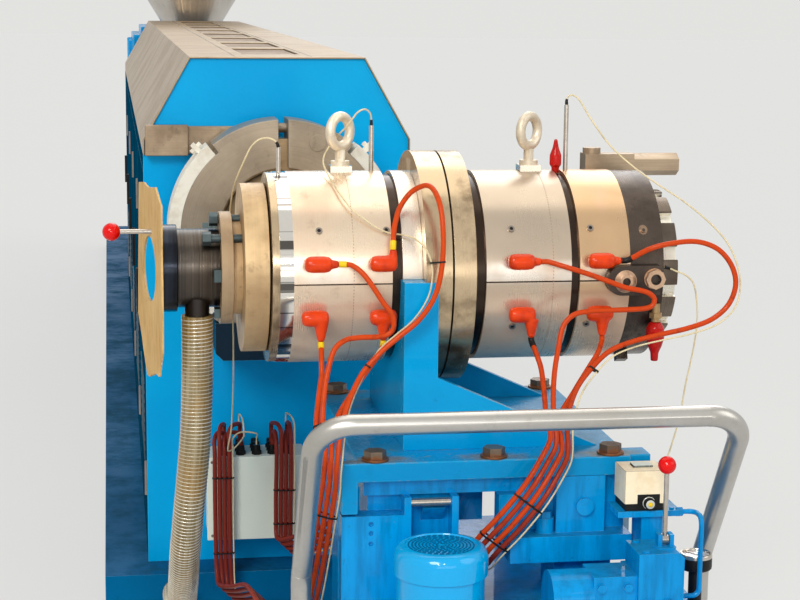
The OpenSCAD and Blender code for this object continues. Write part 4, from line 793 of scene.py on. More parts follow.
class Finishes:
    """The finishes of this machine, by what they are on."""

    BLUE = Enamel("paint_blue", (0.0, 0.63, 0.86), (0.0, 0.54, 0.78), 0.2, 0.25, coat=0.16)
    PLATE_BLUE = PlateEnamel("paint_blue_plate", (0.0, 0.60, 0.84), (0.0, 0.50, 0.74), 0.2, 0.3, coat=0.14)
    CASTING_BLUE = Enamel("paint_blue_casting", (0.0, 0.62, 0.89), (0.0, 0.48, 0.75), 0.2, 0.45,
                          (0.14, 0.42, 0.50), coat=0.25, runs=0.45)
    PUMP_BLUE = Enamel("paint_blue_pump", (0.0, 0.70, 0.93), (0.0, 0.60, 0.86), 0.16, 0.2,
                       (0.14, 0.46, 0.56), coat=0.8)
    PANEL_BLUE = Enamel("paint_blue_panel", (0.0, 0.67, 0.91), (0.0, 0.60, 0.87), 0.3, 0.06, coat=0.04)
    DEEP_BLUE = Enamel("paint_blue_deep", (0.0, 0.40, 0.60), (0.0, 0.31, 0.49), 0.28, 0.6, (0.14, 0.28, 0.34),
                       coat=0.02, shine=0.02)
    # Painted shade: the cabinet walls take a darker copy of the machine's blue.
    SHADED_WALL_BLUE = Enamel("paint_blue_wall_shaded", (0.01, 0.29, 0.41), (0.01, 0.22, 0.32), 0.7, 0.3,
                       (0.10, 0.24, 0.32), coat=0.0, shine=0.0)
    DARK_BLUE = Enamel("paint_dark", (0.09, 0.19, 0.26), (0.06, 0.13, 0.18), 0.35, 0.4)
    MOTOR_BLUE = Enamel("paint_motor", (0.06, 0.42, 0.64), (0.05, 0.35, 0.54), 0.4, 0.35)
    YELLOW = Enamel("paint_yellow", (0.93, 0.72, 0.10), (0.85, 0.62, 0.06), 0.35, 0.25)
    BOX_GREY = Enamel("paint_grey", (0.90, 0.94, 0.90), (0.86, 0.90, 0.85), 0.45, 0.12, (0.6, 0.6, 0.56), 0.2)
    RAIL_STEEL = Steel("rail_steel", (0.76, 0.75, 0.73), (0.57, 0.54, 0.48), 0.3, Lay.PLAIN, 0.3, 0.95, 0.3)
    HOOD_SHEET = Steel("hood_sheet", (0.675, 0.59, 0.475), (0.52, 0.43, 0.33), 0.34, Lay.ALONG_Y, 0.4,
                       0.78, 0.5)
    HOPPER_STEEL = Steel("hopper_steel", (0.80, 0.78, 0.75), (0.66, 0.62, 0.56), 0.33, Lay.UPRIGHT, 0.3,
                         0.8, 0.4)
    VENT_STEEL = Steel("vent_steel", (0.60, 0.52, 0.44), (0.40, 0.33, 0.27), 0.5, Lay.PLAIN, 0.5, 0.5)
    BAND_SHEET = BandSheet("band_sheet", (0.93, 0.85, 0.75), (0.78, 0.62, 0.49), 0.27, Lay.TURNED_X, 0.4,
                           0.86, 0.3)
    CAP_STEEL = Steel("cap_steel", (0.93, 0.88, 0.82), (0.76, 0.66, 0.55), 0.26, Lay.TURNED_X, 0.25, 0.8, 0.4)
    # The strap's second colour paints its dark reflections.
    CHROME = PaintedReflectionChrome("chrome_strap", (0.93, 0.91, 0.88), (0.20, 0.17, 0.15), 0.08, Lay.TURNED_X, 0.1,
                          1.0, 0.1)
    BODY_STEEL = FlangedSteel("body_steel", (0.25, 0.20, 0.165), (0.12, 0.095, 0.08), 0.2, Lay.TURNED_X,
                              0.5)
    TAN_STEEL = Steel("tan_steel", (0.74, 0.64, 0.51), (0.50, 0.39, 0.27), 0.42, Lay.TURNED_X, 0.55,
                      0.6, 0.8, 0.12)
    FLANGE_STEEL = Steel("flange_steel", (0.86, 0.74, 0.56), (0.56, 0.42, 0.27), 0.42, Lay.TURNED_X, 0.62,
                         0.55, 0.8, 0.16)
    SCREW_STEEL = Steel("screw_steel", (0.60, 0.56, 0.52), (0.26, 0.22, 0.19), 0.36, Lay.PLAIN, 0.4)
    WELD_STEEL = Steel("weld_marks", (0.66, 0.58, 0.50), (0.45, 0.37, 0.30), 0.4, Lay.PLAIN, 0.4, 0.6)
    BOLT_STEEL = Steel("bolt_steel", (0.33, 0.39, 0.40), (0.20, 0.20, 0.19), 0.4, Lay.PLAIN, 0.5)
    BLACK_STEEL = LugSteel("black_steel", (0.37, 0.325, 0.29), (0.15, 0.115, 0.10), 0.27, Lay.TURNED_X, 0.9,
                           0.9, 1.0, 0.5)
    NUT_STEEL = SlottedSteel("nut_steel", (0.48, 0.43, 0.38), (0.24, 0.20, 0.17), 0.24, Lay.TURNED_X, 0.6)
    RING_STEEL = Steel("clamp_steel", (0.66, 0.61, 0.54), (0.46, 0.41, 0.34), 0.38, Lay.TURNED_Y, 0.5,
                       0.65, 0.8)
    NECK_STEEL = Steel("neck_steel", (0.68, 0.60, 0.48), (0.42, 0.33, 0.22), 0.38, Lay.TURNED_Y, 0.5)
    BAR_STEEL = Steel("bar_steel", (0.70, 0.62, 0.52), (0.38, 0.29, 0.20), 0.4, Lay.ALONG_X, 0.65, 0.7)
    POLISHED = Steel("polished_steel", (0.80, 0.77, 0.73), (0.54, 0.46, 0.38), 0.15, Lay.PLAIN, 0.35)
    EYE_STEEL = Steel("eye_steel", (0.92, 0.87, 0.78), (0.66, 0.58, 0.46), 0.42, Lay.PLAIN, 0.4, 0.5)
    BRASS = Steel("brass", (0.74, 0.62, 0.44), (0.45, 0.36, 0.24), 0.4, Lay.PLAIN, 0.5, 0.75)
    RUST = Weathered("rusty_steel", (0.47, 0.41, 0.35), (0.34, 0.24, 0.17), 0.36, Lay.PLAIN, 0.7, 0.7,
                     1.0, 0.5, rust=(0.52, 0.31, 0.16))
    BLUED = HeatTinted("blued_steel", (0.2, 0.22, 0.3), rough=0.2, lay=Lay.TURNED_X, start=-0.32,
                       end=-0.275, tints=((0.0, (0.15, 0.15, 0.16)), (0.45, (0.20, 0.22, 0.26)),
                                          (0.75, (0.13, 0.14, 0.17)), (1.0, (0.16, 0.15, 0.15))))
    SLEEVE = HeatTinted("sleeve_steel", (0.2, 0.2, 0.2), rough=0.3, lay=Lay.TURNED_X, grain=2.5,
                        start=-0.285, end=-0.19, tints=((0.0, (0.30, 0.28, 0.26)), (0.3, (0.36, 0.33, 0.30)),
                                                        (0.7, (0.32, 0.28, 0.24)), (1.0, (0.22, 0.20, 0.18))))
    HOSE_COLLAR = Steel("hose_collar", (0.24, 0.22, 0.21), (0.12, 0.11, 0.10), 0.3, Lay.PLAIN, 0.5)
    CERAMIC = Moulding("ceramic", (0.93, 0.92, 0.87), (0.72, 0.64, 0.52), 0.6, 0.35, 0.0006)
    BLACK = Moulding("black_plastic", (0.06, 0.06, 0.06), (0.16, 0.15, 0.14), 0.42, 0.3)
    CREAM = Moulding("cream_plastic", (0.99, 0.93, 0.80), (0.88, 0.76, 0.54), 0.45, 0.4, 0.0004)
    CLEAR = Moulding("clear_gland", (0.78, 0.79, 0.76), (0.55, 0.55, 0.5), 0.18, 0.2, 0.0001, 0.8)
    RED = Moulding("red_ball", (0.88, 0.04, 0.03), (0.55, 0.02, 0.02), 0.16, 0.15, 0.00005, 0.35, 0.1)
    BOOT = Moulding("boot_silicone", (0.89, 0.255, 0.04), (0.60, 0.09, 0.02), 0.24, 0.55, 0.0007, 0.35, 0.08)
    DARK_BOOT = Moulding("boot_dark", (0.76, 0.08, 0.05), (0.42, 0.03, 0.02), 0.26, 0.45, 0.0007, 0.35, 0.08)
    MARKER = Moulding("marker_yellow", (0.95, 0.80, 0.10), (0.75, 0.6, 0.1), 0.35, 0.2)
    # The leads' second colour paints shade and dust; the right-hand leads reach it sooner.
    LEAD = LeadSkin("lead_skin", (0.80, 0.275, 0.07), (0.48, 0.16, 0.12))
    LEAD_DARK = LeadSkin("lead_skin_right", (0.78, 0.26, 0.07), (0.50, 0.17, 0.13), from_m=0.5, to_m=1.25)
    BRAID = Braid("wire_braid")
    HOSE = HoseWall("hose_wall")
    HOSE_WIRE = Steel("hose_wire", (0.95, 0.93, 0.86), (0.60, 0.52, 0.34), 0.14, Lay.PLAIN, 0.7, 0.35)
    BOARD = Fibreboard("fibreboard")
    DIAL = DialFace("dial_face")
    FLOOR = Backdrop("studio_floor")


# ---------------------------------------------------------------- mesh helpers
def link(name: str, data: bpy.types.ID) -> bpy.types.Object:
    """Puts a mesh, a lamp or a camera into the scene as an object at the origin.

    Args:
        name: the object's name.
        data: the mesh, lamp or camera.

    Returns:
        The object.
    """
    obj = bpy.data.objects.new(name, data)
    bpy.context.scene.collection.objects.link(obj)
    return obj


def smooth(mesh: bpy.types.Mesh, degrees: float = SOFT_EDGE) -> None:
    """Shades faces smooth, and keeps edges sharper than an angle.

    Args:
        mesh: the mesh to shade.
        degrees: edges that turn more than this stay sharp.
    """
    mesh.shade_smooth()
    mesh.set_sharp_from_angle(angle=math.radians(degrees))


def close(bm: bmesh.types.BMesh, name: str, degrees: float | None = SOFT_EDGE) -> bpy.types.Object:
    """Turns an edited mesh into a piece, and frees it.

    Args:
        bm: the edited mesh.
        name: the piece's name.
        degrees: edges that turn more than this stay sharp; None for flat faces.

    Returns:
        The piece, not yet dressed.
    """
    mesh = bpy.data.meshes.new(name)
    bm.to_mesh(mesh)
    bm.free()
    if degrees is not None:
        smooth(mesh, degrees)
    return link(name, mesh)


def skin(bm: bmesh.types.BMesh, rings: Sequence[Sequence[bmesh.types.BMVert]]) -> None:
    """Joins rings of points by faces.

    Args:
        bm: the mesh.
        rings: the rings in order; one of a single point is a pole.
    """
    for low, high in zip(rings, rings[1:]):
        sides = max(len(low), len(high))
        for k in range(sides):
            n = (k + 1) % sides
            if len(low) == 1 and len(high) > 1:
                bm.faces.new((low[0], high[n], high[k]))
            elif len(high) == 1 and len(low) > 1:
                bm.faces.new((low[k], low[n], high[0]))
            elif len(low) > 1:
                bm.faces.new((low[k], low[n], high[n], high[k]))


def spoke(k: int, sides: int) -> tuple[float, float]:
    """Cosine and sine of one of the equal parts of a turn."""
    return math.cos(math.tau * k / sides), math.sin(math.tau * k / sides)


def settle(obj: bpy.types.Object, finish: Finish, body: str = "machine",
           nodes: Sequence[str] = ()) -> bpy.types.Object:
    """Dresses a finished piece and ties it to the frame.

    Args:
        obj: the piece, in place.
        finish: its finish.
        body: the body it rides on.
        nodes: CAD nodes that it stands for.

    Returns:
        The piece.
    """
    obj.data.materials.clear()
    obj.data.materials.append(finish.material())
    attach(obj, body)
    if nodes:
        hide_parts(*nodes)
    LOG.info("%s: %d faces, %s", obj.name, len(obj.data.polygons), finish.name)
    return obj


def apply_modifiers(obj: bpy.types.Object) -> None:
    """Turns an object's modifiers into its own mesh, and removes them.

    Args:
        obj: the object.
    """
    graph = bpy.context.evaluated_depsgraph_get()
    mesh = bpy.data.meshes.new_from_object(obj.evaluated_get(graph))
    obj.modifiers.clear()
    old, obj.data = obj.data, mesh
    bpy.data.meshes.remove(old)


def merged_copy(node: str, name: str, keep: Test | None = None) -> bpy.types.Object:
    """A copy of a CAD node with its loose triangles joined into faces.

    Args:
        node: the CAD node.
        name: the copy's name.
        keep: a test on a solid's centre; solids that fail it are left out.

    Returns:
        The copy, not yet dressed.
    """
    bm = bmesh.new()
    bm.from_mesh(frame["nodes"][node].data)
    bmesh.ops.remove_doubles(bm, verts=bm.verts, dist=0.00001)
    if keep is not None:
        bm.verts.ensure_lookup_table()
        seen: set[int] = set()
        gone = []
        for start in bm.verts:
            if start.index in seen:
                continue
            island, queue = [], [start]
            seen.add(start.index)
            while queue:
                v = queue.pop()
                island.append(v)
                for e in v.link_edges:
                    w = e.other_vert(v)
                    if w.index not in seen:
                        seen.add(w.index)
                        queue.append(w)
            if not keep(sum((v.co for v in island), Vector()) / len(island)):
                gone += island
        bmesh.ops.delete(bm, geom=gone, context="VERTS")
    bmesh.ops.dissolve_limit(bm, angle_limit=math.radians(FLAT_JOIN), verts=bm.verts, edges=bm.edges)
    return close(bm, name, None)


def mark_edges(mesh: bpy.types.Mesh) -> None:
    """Turns the second material index, which a bevel gives its faces, into a face attribute.

    Args:
        mesh: the bevelled mesh.
    """
    marks = mesh.attributes.new(EDGE, "FLOAT", "FACE")
    for face in mesh.polygons:
        marks.data[face.index].value = float(face.material_index)
        face.material_index = 0


def weigh_normals(obj: bpy.types.Object) -> None:
    """Lets wide faces shade flat and keeps the bend in the rounded edges."""
    obj.modifiers.new("shading", "WEIGHTED_NORMAL").keep_sharp = True
    apply_modifiers(obj)


def rounded(node: str, finish: Finish, width: float, name: str = "",
            keep: Test | None = None) -> bpy.types.Object:
    """Replaces a CAD node by a copy with rounded edges.

    Args:
        node: the CAD node.
        finish: its finish.
        width: width of the rounded edges in millimetres.
        name: the piece's name, or the node's with an ending.
        keep: a test on a solid's centre.

    Returns:
        The piece.
    """
    obj = merged_copy(node, name or node + "_finish", keep)
    if width:
        bevel = obj.modifiers.new("edges", "BEVEL")
        bevel.width, bevel.segments = width * MM, 2
        bevel.limit_method, bevel.angle_limit = "ANGLE", math.radians(SHARP_EDGE)
        bevel.material = 1
        for _ in range(2):
            obj.data.materials.append(finish.material())
        apply_modifiers(obj)
        mark_edges(obj.data)
    smooth(obj.data, 34.0)
    weigh_normals(obj)
    return settle(obj, finish, nodes=[node])


def lathe(name: str, profile: Sequence[tuple[float, float]], place: Matrix, sides: int = 48) -> bpy.types.Object:
    """Turns a profile round the Z axis of a place.

    Args:
        name: the piece's name.
        profile: radius and height, in millimetres, from one pole to the other.
        place: where the axis is.
        sides: faces round the axis.

    Returns:
        The piece, not yet dressed.
    """
    bm = bmesh.new()
    rings = []
    for r, h in profile:
        spokes = [spoke(k, sides) for k in range(sides if r > 0 else 1)]
        rings.append([bm.verts.new(place @ Vector((r * MM * c, r * MM * s, h * MM))) for c, s in spokes])
    skin(bm, rings)
    bmesh.ops.recalc_face_normals(bm, faces=bm.faces)
    return close(bm, name)


def ball(radius: float, middle: float) -> list[tuple[float, float]]:
    """The profile of a ball for lathe: its radius and the height of its middle."""
    arc = [spoke(k, 40) for k in range(1, 20)]
    return [(0, middle - radius), *((radius * s, middle - radius * c) for c, s in arc), (0, middle + radius)]


def prism(name: str, outline: Sequence[tuple[float, float]], reach: tuple[float, float],
          place: Matrix, width: float) -> bpy.types.Object:
    """An outline in XZ drawn out along Y, with rounded edges.

    Args:
        name: the piece's name.
        outline: its corners in millimetres.
        reach: where it starts and ends along Y.
        place: where its origin is.
        width: width of the rounded edges.

    Returns:
        The piece, not yet dressed.
    """
    bm = bmesh.new()
    ends = [[bm.verts.new(place @ (Vector((x, y, z)) * MM)) for x, z in outline] for y in reach]
    for end in ends:
        bm.faces.new(end)
    for k in range(len(outline)):
        n = (k + 1) % len(outline)
        bm.faces.new((ends[0][k], ends[0][n], ends[1][n], ends[1][k]))
    bmesh.ops.recalc_face_normals(bm, faces=bm.faces)
    obj = close(bm, name, None)
    edge = obj.modifiers.new("edges", "BEVEL")
    edge.width, edge.segments = width * MM, 3
    apply_modifiers(obj)
    smooth(obj.data)
    weigh_normals(obj)
    return obj


def at(x: float, y: float, z: float, turn: Matrix | None = None) -> Matrix:
    """A place in millimetres, with a turn."""
    return Matrix.Translation(Vector((x, y, z)) * MM) @ (turn or Matrix.Identity(4))


def turned(axis: str, degrees: float) -> Matrix:
    """A turn about one axis."""
    return Matrix.Rotation(math.radians(degrees), 4, axis)


# ---------------------------------------------------------------- geometry nodes
class Shape(Enum):
    """The small shapes that the node trees repeat."""

    DOME = "rivet head"
    BAR = "bar with square ends"
    HEX = "hexagon head"
    DISC = "round disc"


class Tree:
    """A Geometry Nodes tree that is built here and turned into a plain mesh."""

    def __init__(self, name: str) -> None:
        """Starts a tree with a geometry output."""
        self.group = bpy.data.node_groups.new(name, "GeometryNodeTree")
        self.group.interface.new_socket("Geometry", in_out="OUTPUT", socket_type="NodeSocketGeometry")
        self.enter = self.group.nodes.new("NodeGroupInput")
        self.leave = self.group.nodes.new("NodeGroupOutput")
        self.ids: dict[str, str] = {}

    def input(self, name: str, kind: str) -> bpy.types.NodeSocket:
        """Adds a named input.

        Args:
            name: its name.
            kind: Int, Float, Vector or Material.

        Returns:
            The socket that gives its value.
        """
        item = self.group.interface.new_socket(name, in_out="INPUT", socket_type="NodeSocket" + kind)
        self.ids[name] = item.identifier
        return self.enter.outputs[name]

    def add(self, kind: str, inputs: dict[str | int, object] | None = None,
            **settings: object) -> bpy.types.NodeSocket:
        """Adds a node.

        Args:
            kind: its type.
            inputs: values or sockets by name or number.
            settings: its properties.

        Returns:
            The node's first output.
        """
        node = self.group.nodes.new(kind)
        for key, value in settings.items():
            setattr(node, key, value)
        for key, value in (inputs or {}).items():
            if isinstance(value, bpy.types.NodeSocket):
                self.group.links.new(value, node.inputs[key])
            else:
                node.inputs[key].default_value = value
        return node.outputs[0]

    def shape(self, shape: Shape) -> bpy.types.NodeSocket:
        """The mesh of a small shape, one metre across, which stands on its Z axis.

        Args:
            shape: the shape.

        Returns:
            Its mesh.
        """
        if shape is Shape.BAR:
            return self.add("GeometryNodeMeshCube", {"Size": (1.0, 1.0, 1.0)})
        if shape is Shape.DOME:
            return self.add("GeometryNodeMeshUVSphere", {"Segments": 10, "Rings": 6, "Radius": 0.5})
        return self.add("GeometryNodeMeshCylinder",
                        {"Vertices": 6 if shape is Shape.HEX else 20, "Radius": 0.5, "Depth": 1.0})

    def repeat(self, points: bpy.types.NodeSocket, shape: Shape, turn: bpy.types.NodeSocket,
               moved: bool = True) -> "Tree":
        """Repeats a shape on points and ends the tree.

        Args:
            points: where the shapes go.
            shape: the shape.
            turn: each one's turn.
            moved: whether the whole is moved and turned too.

        Returns:
            The tree.
        """
        spread = self.add("GeometryNodeInstanceOnPoints",
                          {"Points": points, "Instance": self.shape(shape), "Rotation": turn,
                           "Scale": self.input("size", "Vector")})
        result = self.add("GeometryNodeRealizeInstances", {"Geometry": spread})
        if moved:
            result = self.add("GeometryNodeTransform",
                              {"Geometry": result, "Translation": self.input("centre", "Vector"),
                               "Rotation": self.input("tilt", "Vector")})
        result = self.add("GeometryNodeSetMaterial",
                          {"Geometry": result, "Material": self.input("finish", "Material")})
        self.group.links.new(result, self.leave.inputs[0])
        return self

    def bake(self, name: str, finish: Finish, **values: object) -> bpy.types.Object:
        """Runs the tree and returns its mesh as an object.

        Args:
            name: the piece's name.
            finish: its finish.
            values: the inputs by name.

        Returns:
            The piece, without a modifier.
        """
        obj = link(name, bpy.data.meshes.new(name))
        run = obj.modifiers.new("repeat", "NODES")
        run.node_group = self.group
        for key, value in {**values, "finish": finish.material()}.items():
            run[self.ids[key]] = value
        apply_modifiers(obj)
        smooth(obj.data)
        return obj


class Rows:
    """Repeated small pieces: in a straight row, on a grid, or round a circle."""

    UNITS: ClassVar[dict[str, float]] = {"count": 1, "across": 1, "down": 1} | dict.fromkeys(
        ("turn", "tilt", "first", "pitch"), math.pi / 180)

    def __init__(self) -> None:
        """Keeps the trees that have been built."""
        self.trees: dict[tuple[str, Shape], Tree] = {}

    def row(self, tree: Tree, shape: Shape) -> None:
        """A row of shapes from a start, one step apart.

        Args:
            tree: the empty tree.
            shape: the shape.
        """
        line = tree.add("GeometryNodeMeshLine",
                        {"Count": tree.input("count", "Int"), "Start Location": tree.input("start", "Vector"),
                         "Offset": tree.input("step", "Vector")}, mode="OFFSET")
        tree.repeat(line, shape, tree.input("turn", "Vector"), False)

    def ring(self, tree: Tree, shape: Shape) -> None:
        """Shapes round the X axis of a centre, standing away from it.

        Args:
            tree: the empty tree.
            shape: the shape.
        """
        radius = tree.input("radius", "Float")
        angle = tree.add("ShaderNodeMath", {0: tree.add("GeometryNodeInputIndex"),
                                            1: tree.input("pitch", "Float"), 2: tree.input("first", "Float")},
                         operation="MULTIPLY_ADD")
        parts = []
        for wave, sign in (("SINE", -1.0), ("COSINE", 1.0)):
            part = tree.add("ShaderNodeMath", {0: angle}, operation=wave)
            part = tree.add("ShaderNodeMath", {0: part, 1: radius}, operation="MULTIPLY")
            parts.append(tree.add("ShaderNodeMath", {0: part, 1: sign}, operation="MULTIPLY"))
        points = tree.add("GeometryNodePoints", {
            "Count": tree.input("count", "Int"),
            "Position": tree.add("ShaderNodeCombineXYZ", {1: parts[0], 2: parts[1]})})
        tree.repeat(points, shape, tree.add("ShaderNodeCombineXYZ", {0: angle}))

    def grid(self, tree: Tree, shape: Shape) -> None:
        """Shapes on a flat grid.

        Args:
            tree: the empty tree.
            shape: the shape.
        """
        grid = tree.add("GeometryNodeMeshGrid",
                        {"Size X": tree.input("width", "Float"), "Size Y": tree.input("height", "Float"),
                         "Vertices X": tree.input("across", "Int"), "Vertices Y": tree.input("down", "Int")})
        tree.repeat(grid, shape, tree.input("turn", "Vector"))

    def make(self, kind: str, name: str, shape: Shape, finish: Finish, slot: str,
             **values: "float | Point") -> bpy.types.Object:
        """A dressed row, ring or grid.

        Args:
            kind: row, ring or grid.
            name: the piece's name.
            shape: the small shape.
            finish: its finish.
            slot: the record's material slot; not used.
            values: the tree's inputs, in millimetres and degrees.

        Returns:
            The piece.
        """
        tree = self.trees.get((kind, shape))
        if tree is None:
            tree = self.trees[kind, shape] = Tree(f"{kind}_{shape.name.lower()}")
            getattr(self, kind)(tree, shape)
        if kind == "ring":
            values["pitch"] = 360.0 / values["count"]
        for key, value in values.items():
            unit = self.UNITS.get(key, MM)
            values[key] = [v * unit for v in value] if isinstance(value, tuple) else value * unit
        return settle(tree.bake(name, finish, **values), finish)


ROWS = Rows()


# ---------------------------------------------------------------- cords
@dataclass
class Cord:
    """A cord along its CAD route: a smooth tube with metres and turns in its UV map.

    The route's points are those of the CAD model's solid, in millimetres.
    """

    name: str
    node: str
    route: list[Point]
    radius: float
    finish: Finish
    slot: str
    stiffness: str = "medium"
    step: float = 6.0
    sides: int = 16
    path: list[Vector] = field(default_factory=list)

    def __post_init__(self) -> None:
        """Lays a smooth line through the route's points."""
        pts = [Vector(p) * MM for p in self.route]
        line = [pts[0]]
        for i in range(len(pts) - 1):
            p0 = pts[i - 1] if i else pts[i] * 2 - pts[i + 1]
            p3 = pts[i + 2] if i + 2 < len(pts) else pts[i + 1] * 2 - pts[i]
            p1, p2 = pts[i], pts[i + 1]
            span = (p2 - p1).length
            m1 = (p2 - p0) * span / max((p2 - p1).length + (p1 - p0).length, 1e-6)
            m2 = (p3 - p1) * span / max((p3 - p2).length + (p2 - p1).length, 1e-6)
            for k in range(1, (n := max(2, round(span / (self.step * MM)))) + 1):
                t = k / n
                line.append((2 * t ** 3 - 3 * t * t + 1) * p1 + (t ** 3 - 2 * t * t + t) * m1
                            + (3 * t * t - 2 * t ** 3) * p2 + (t ** 3 - t * t) * m2)
        self.path = line

    @property
    def length(self) -> float:
        """Length of the smooth line in metres."""
        return sum((b - a).length for a, b in zip(self.path, self.path[1:]))

    def spot(self, metres: float) -> tuple[Vector, Vector]:
        """A place on the cord.

        Args:
            metres: its distance along the cord.

        Returns:
            The place, and the cord's direction there.
        """
        for a, b in zip(self.path, self.path[1:]):
            if (span := (b - a).length) >= metres:
                return a.lerp(b, metres / span), (b - a).normalized()
            metres -= span
        return self.path[-1], (self.path[-1] - self.path[-2]).normalized()

    def nearest(self, place: Point) -> float:
        """Where the cord passes nearest to a place.

        Args:
            place: the place in millimetres.

        Returns:
            The distance along the cord in metres.
        """
        goal = Vector(place) * MM
        walked, best = 0.0, (math.inf, 0.0)
        for a, b in zip(self.path, self.path[1:]):
            best = min(best, ((a - goal).length, walked))
            walked += (b - a).length
        return best[1]

    def tube(self, name: str, line: Sequence[Vector], radius: Callable[[float], float]) -> bpy.types.Object:
        """A closed tube along a line.

        Args:
            name: the piece's name.
            line: its centre line.
            radius: the radius in metres at a distance along it.

        Returns:
            The piece, not yet dressed.
        """
        bm = bmesh.new()
        uv = bm.loops.layers.uv.new("along")
        rings: list[list[bmesh.types.BMVert]] = []
        walked: list[float] = []
        side = None
        for i, p in enumerate(line):
            forward = (line[min(i + 1, len(line) - 1)] - line[max(i - 1, 0)]).normalized()
            guide = side or (Vector((1, 0, 0)) if abs(forward.z) > 0.9 else Vector((0, 0, 1)))
            side = (guide - forward * guide.dot(forward)).normalized()
            across = forward.cross(side)
            walked.append(walked[-1] + (p - line[i - 1]).length if walked else 0.0)
            r = radius(walked[-1])
            spokes = (spoke(k, self.sides) for k in range(self.sides))
            rings.append([bm.verts.new(p + r * (c * side + s * across)) for c, s in spokes])
        for i in range(len(rings) - 1):
            for k in range(self.sides):
                n = (k + 1) % self.sides
                face = bm.faces.new((rings[i][k], rings[i][n], rings[i + 1][n], rings[i + 1][k]))
                for loop, (u, v) in zip(face.loops, ((i, k), (i, k + 1), (i + 1, k + 1), (i + 1, k))):
                    loop[uv].uv = (walked[u], v / self.sides)
        bm.faces.new(list(reversed(rings[0])))
        bm.faces.new(rings[-1])
        return close(bm, name, degrees=50.0)

    def make(self, with_pieces: Sequence[bpy.types.Object] = ()) -> bpy.types.Object:
        """Args:
            with_pieces: the pieces on it; not used.

        Returns:
            The cord.
        """
        obj = self.tube(self.name, self.path, lambda _: self.radius * MM)
        settle(obj, self.finish, nodes=[self.node])
        round(self.length, 4)
        return obj

    def sleeve(self, name: str, start: float, span: float, wall: float, finish: Finish, slot: str,
               taper: float = 0.0) -> bpy.types.Object:
        """A sleeve or a tapered relief on the cord.

        Args:
            name: its name.
            start: where it starts, in millimetres along the cord.
            span: its length.
            wall: its wall.
            finish: its finish.
            slot: the record's material slot; not used.
            taper: how much thicker it is at its start.

        Returns:
            The sleeve.
        """
        count = max(4, round(span / 4))
        line = [self.spot((start + span * k / count) * MM)[0] for k in range(count + 1)]
        obj = self.tube(name, line, lambda d: (self.radius + wall + taper * (1 - d / (span * MM))) * MM)
        return settle(obj, finish)


def tie(name: str, cords: Sequence[Cord], place: Point) -> bpy.types.Object:
    """A cable tie round several cords.

    Args:
        name: the piece's name.
        cords: the cords that it holds.
        place: a place near it, in millimetres.

    Returns:
        The tie.
    """
    spots = [c.spot(c.nearest(place)) for c in cords]
    forward = sum((s[1] for s in spots), Vector()).normalized()
    centre = sum((s[0] for s in spots), Vector()) / len(spots)
    side = (Vector((0, 0, 1)) - forward * forward.z)
    side = (side if side.length > 0.2 else Vector((1, 0, 0)) - forward * forward.x).normalized()
    across = forward.cross(side)

    def hull(extra: float) -> list[tuple[float, float]]:
        """Outline round the cords, as seen along them.

        Args:
            extra: how far it stays off them, in millimetres.

        Returns:
            Its corners.
        """
        flat = []
        for (p, _), c in zip(spots, cords):
            u, v = (p - centre).dot(side), (p - centre).dot(across)
            r = (c.radius + extra) * MM
            flat += [(u + r * a, v + r * b) for a, b in (spoke(k, 24) for k in range(24))]
        flat = sorted(set(flat))

        def chain(points: Iterable[tuple[float, float]]) -> list[tuple[float, float]]:
            """One side of the convex outline.

            Args:
                points: the points, sorted.

            Returns:
                Its corners, but the last.
            """
            out: list[tuple[float, float]] = []
            for p in points:
                while len(out) > 1 and ((out[-1][0] - out[-2][0]) * (p[1] - out[-2][1])
                                        - (out[-1][1] - out[-2][1]) * (p[0] - out[-2][0])) <= 0:
                    out.pop()
                out.append(p)
            return out[:-1]
        return chain(flat) + chain(reversed(flat))

    inner, outer, half = hull(TIE_PLAY), hull(TIE_WALL), TIE_WIDTH / 2
    bm = bmesh.new()
    rings = []
    for outline, shift in ((outer, -half), (outer, half), (inner, half), (inner, -half)):
        total = [0.0]
        for a, b in zip(outline, outline[1:] + outline[:1]):
            total.append(total[-1] + math.dist(a, b))
        ring = []
        for k in range(TIE_POINTS):
            goal = total[-1] * k / TIE_POINTS
            i = max(j for j in range(len(outline)) if total[j] <= goal)
            a, b = outline[i], outline[(i + 1) % len(outline)]
            t = (goal - total[i]) / max(math.dist(a, b), 1e-9)
            u, v = a[0] + (b[0] - a[0]) * t, a[1] + (b[1] - a[1]) * t
            ring.append(bm.verts.new(centre + side * u + across * v + forward * shift * MM))
        rings.append(ring)
    skin(bm, rings + rings[:1])
    bmesh.ops.recalc_face_normals(bm, faces=bm.faces)
    return settle(close(bm, name), Finishes.BLACK)


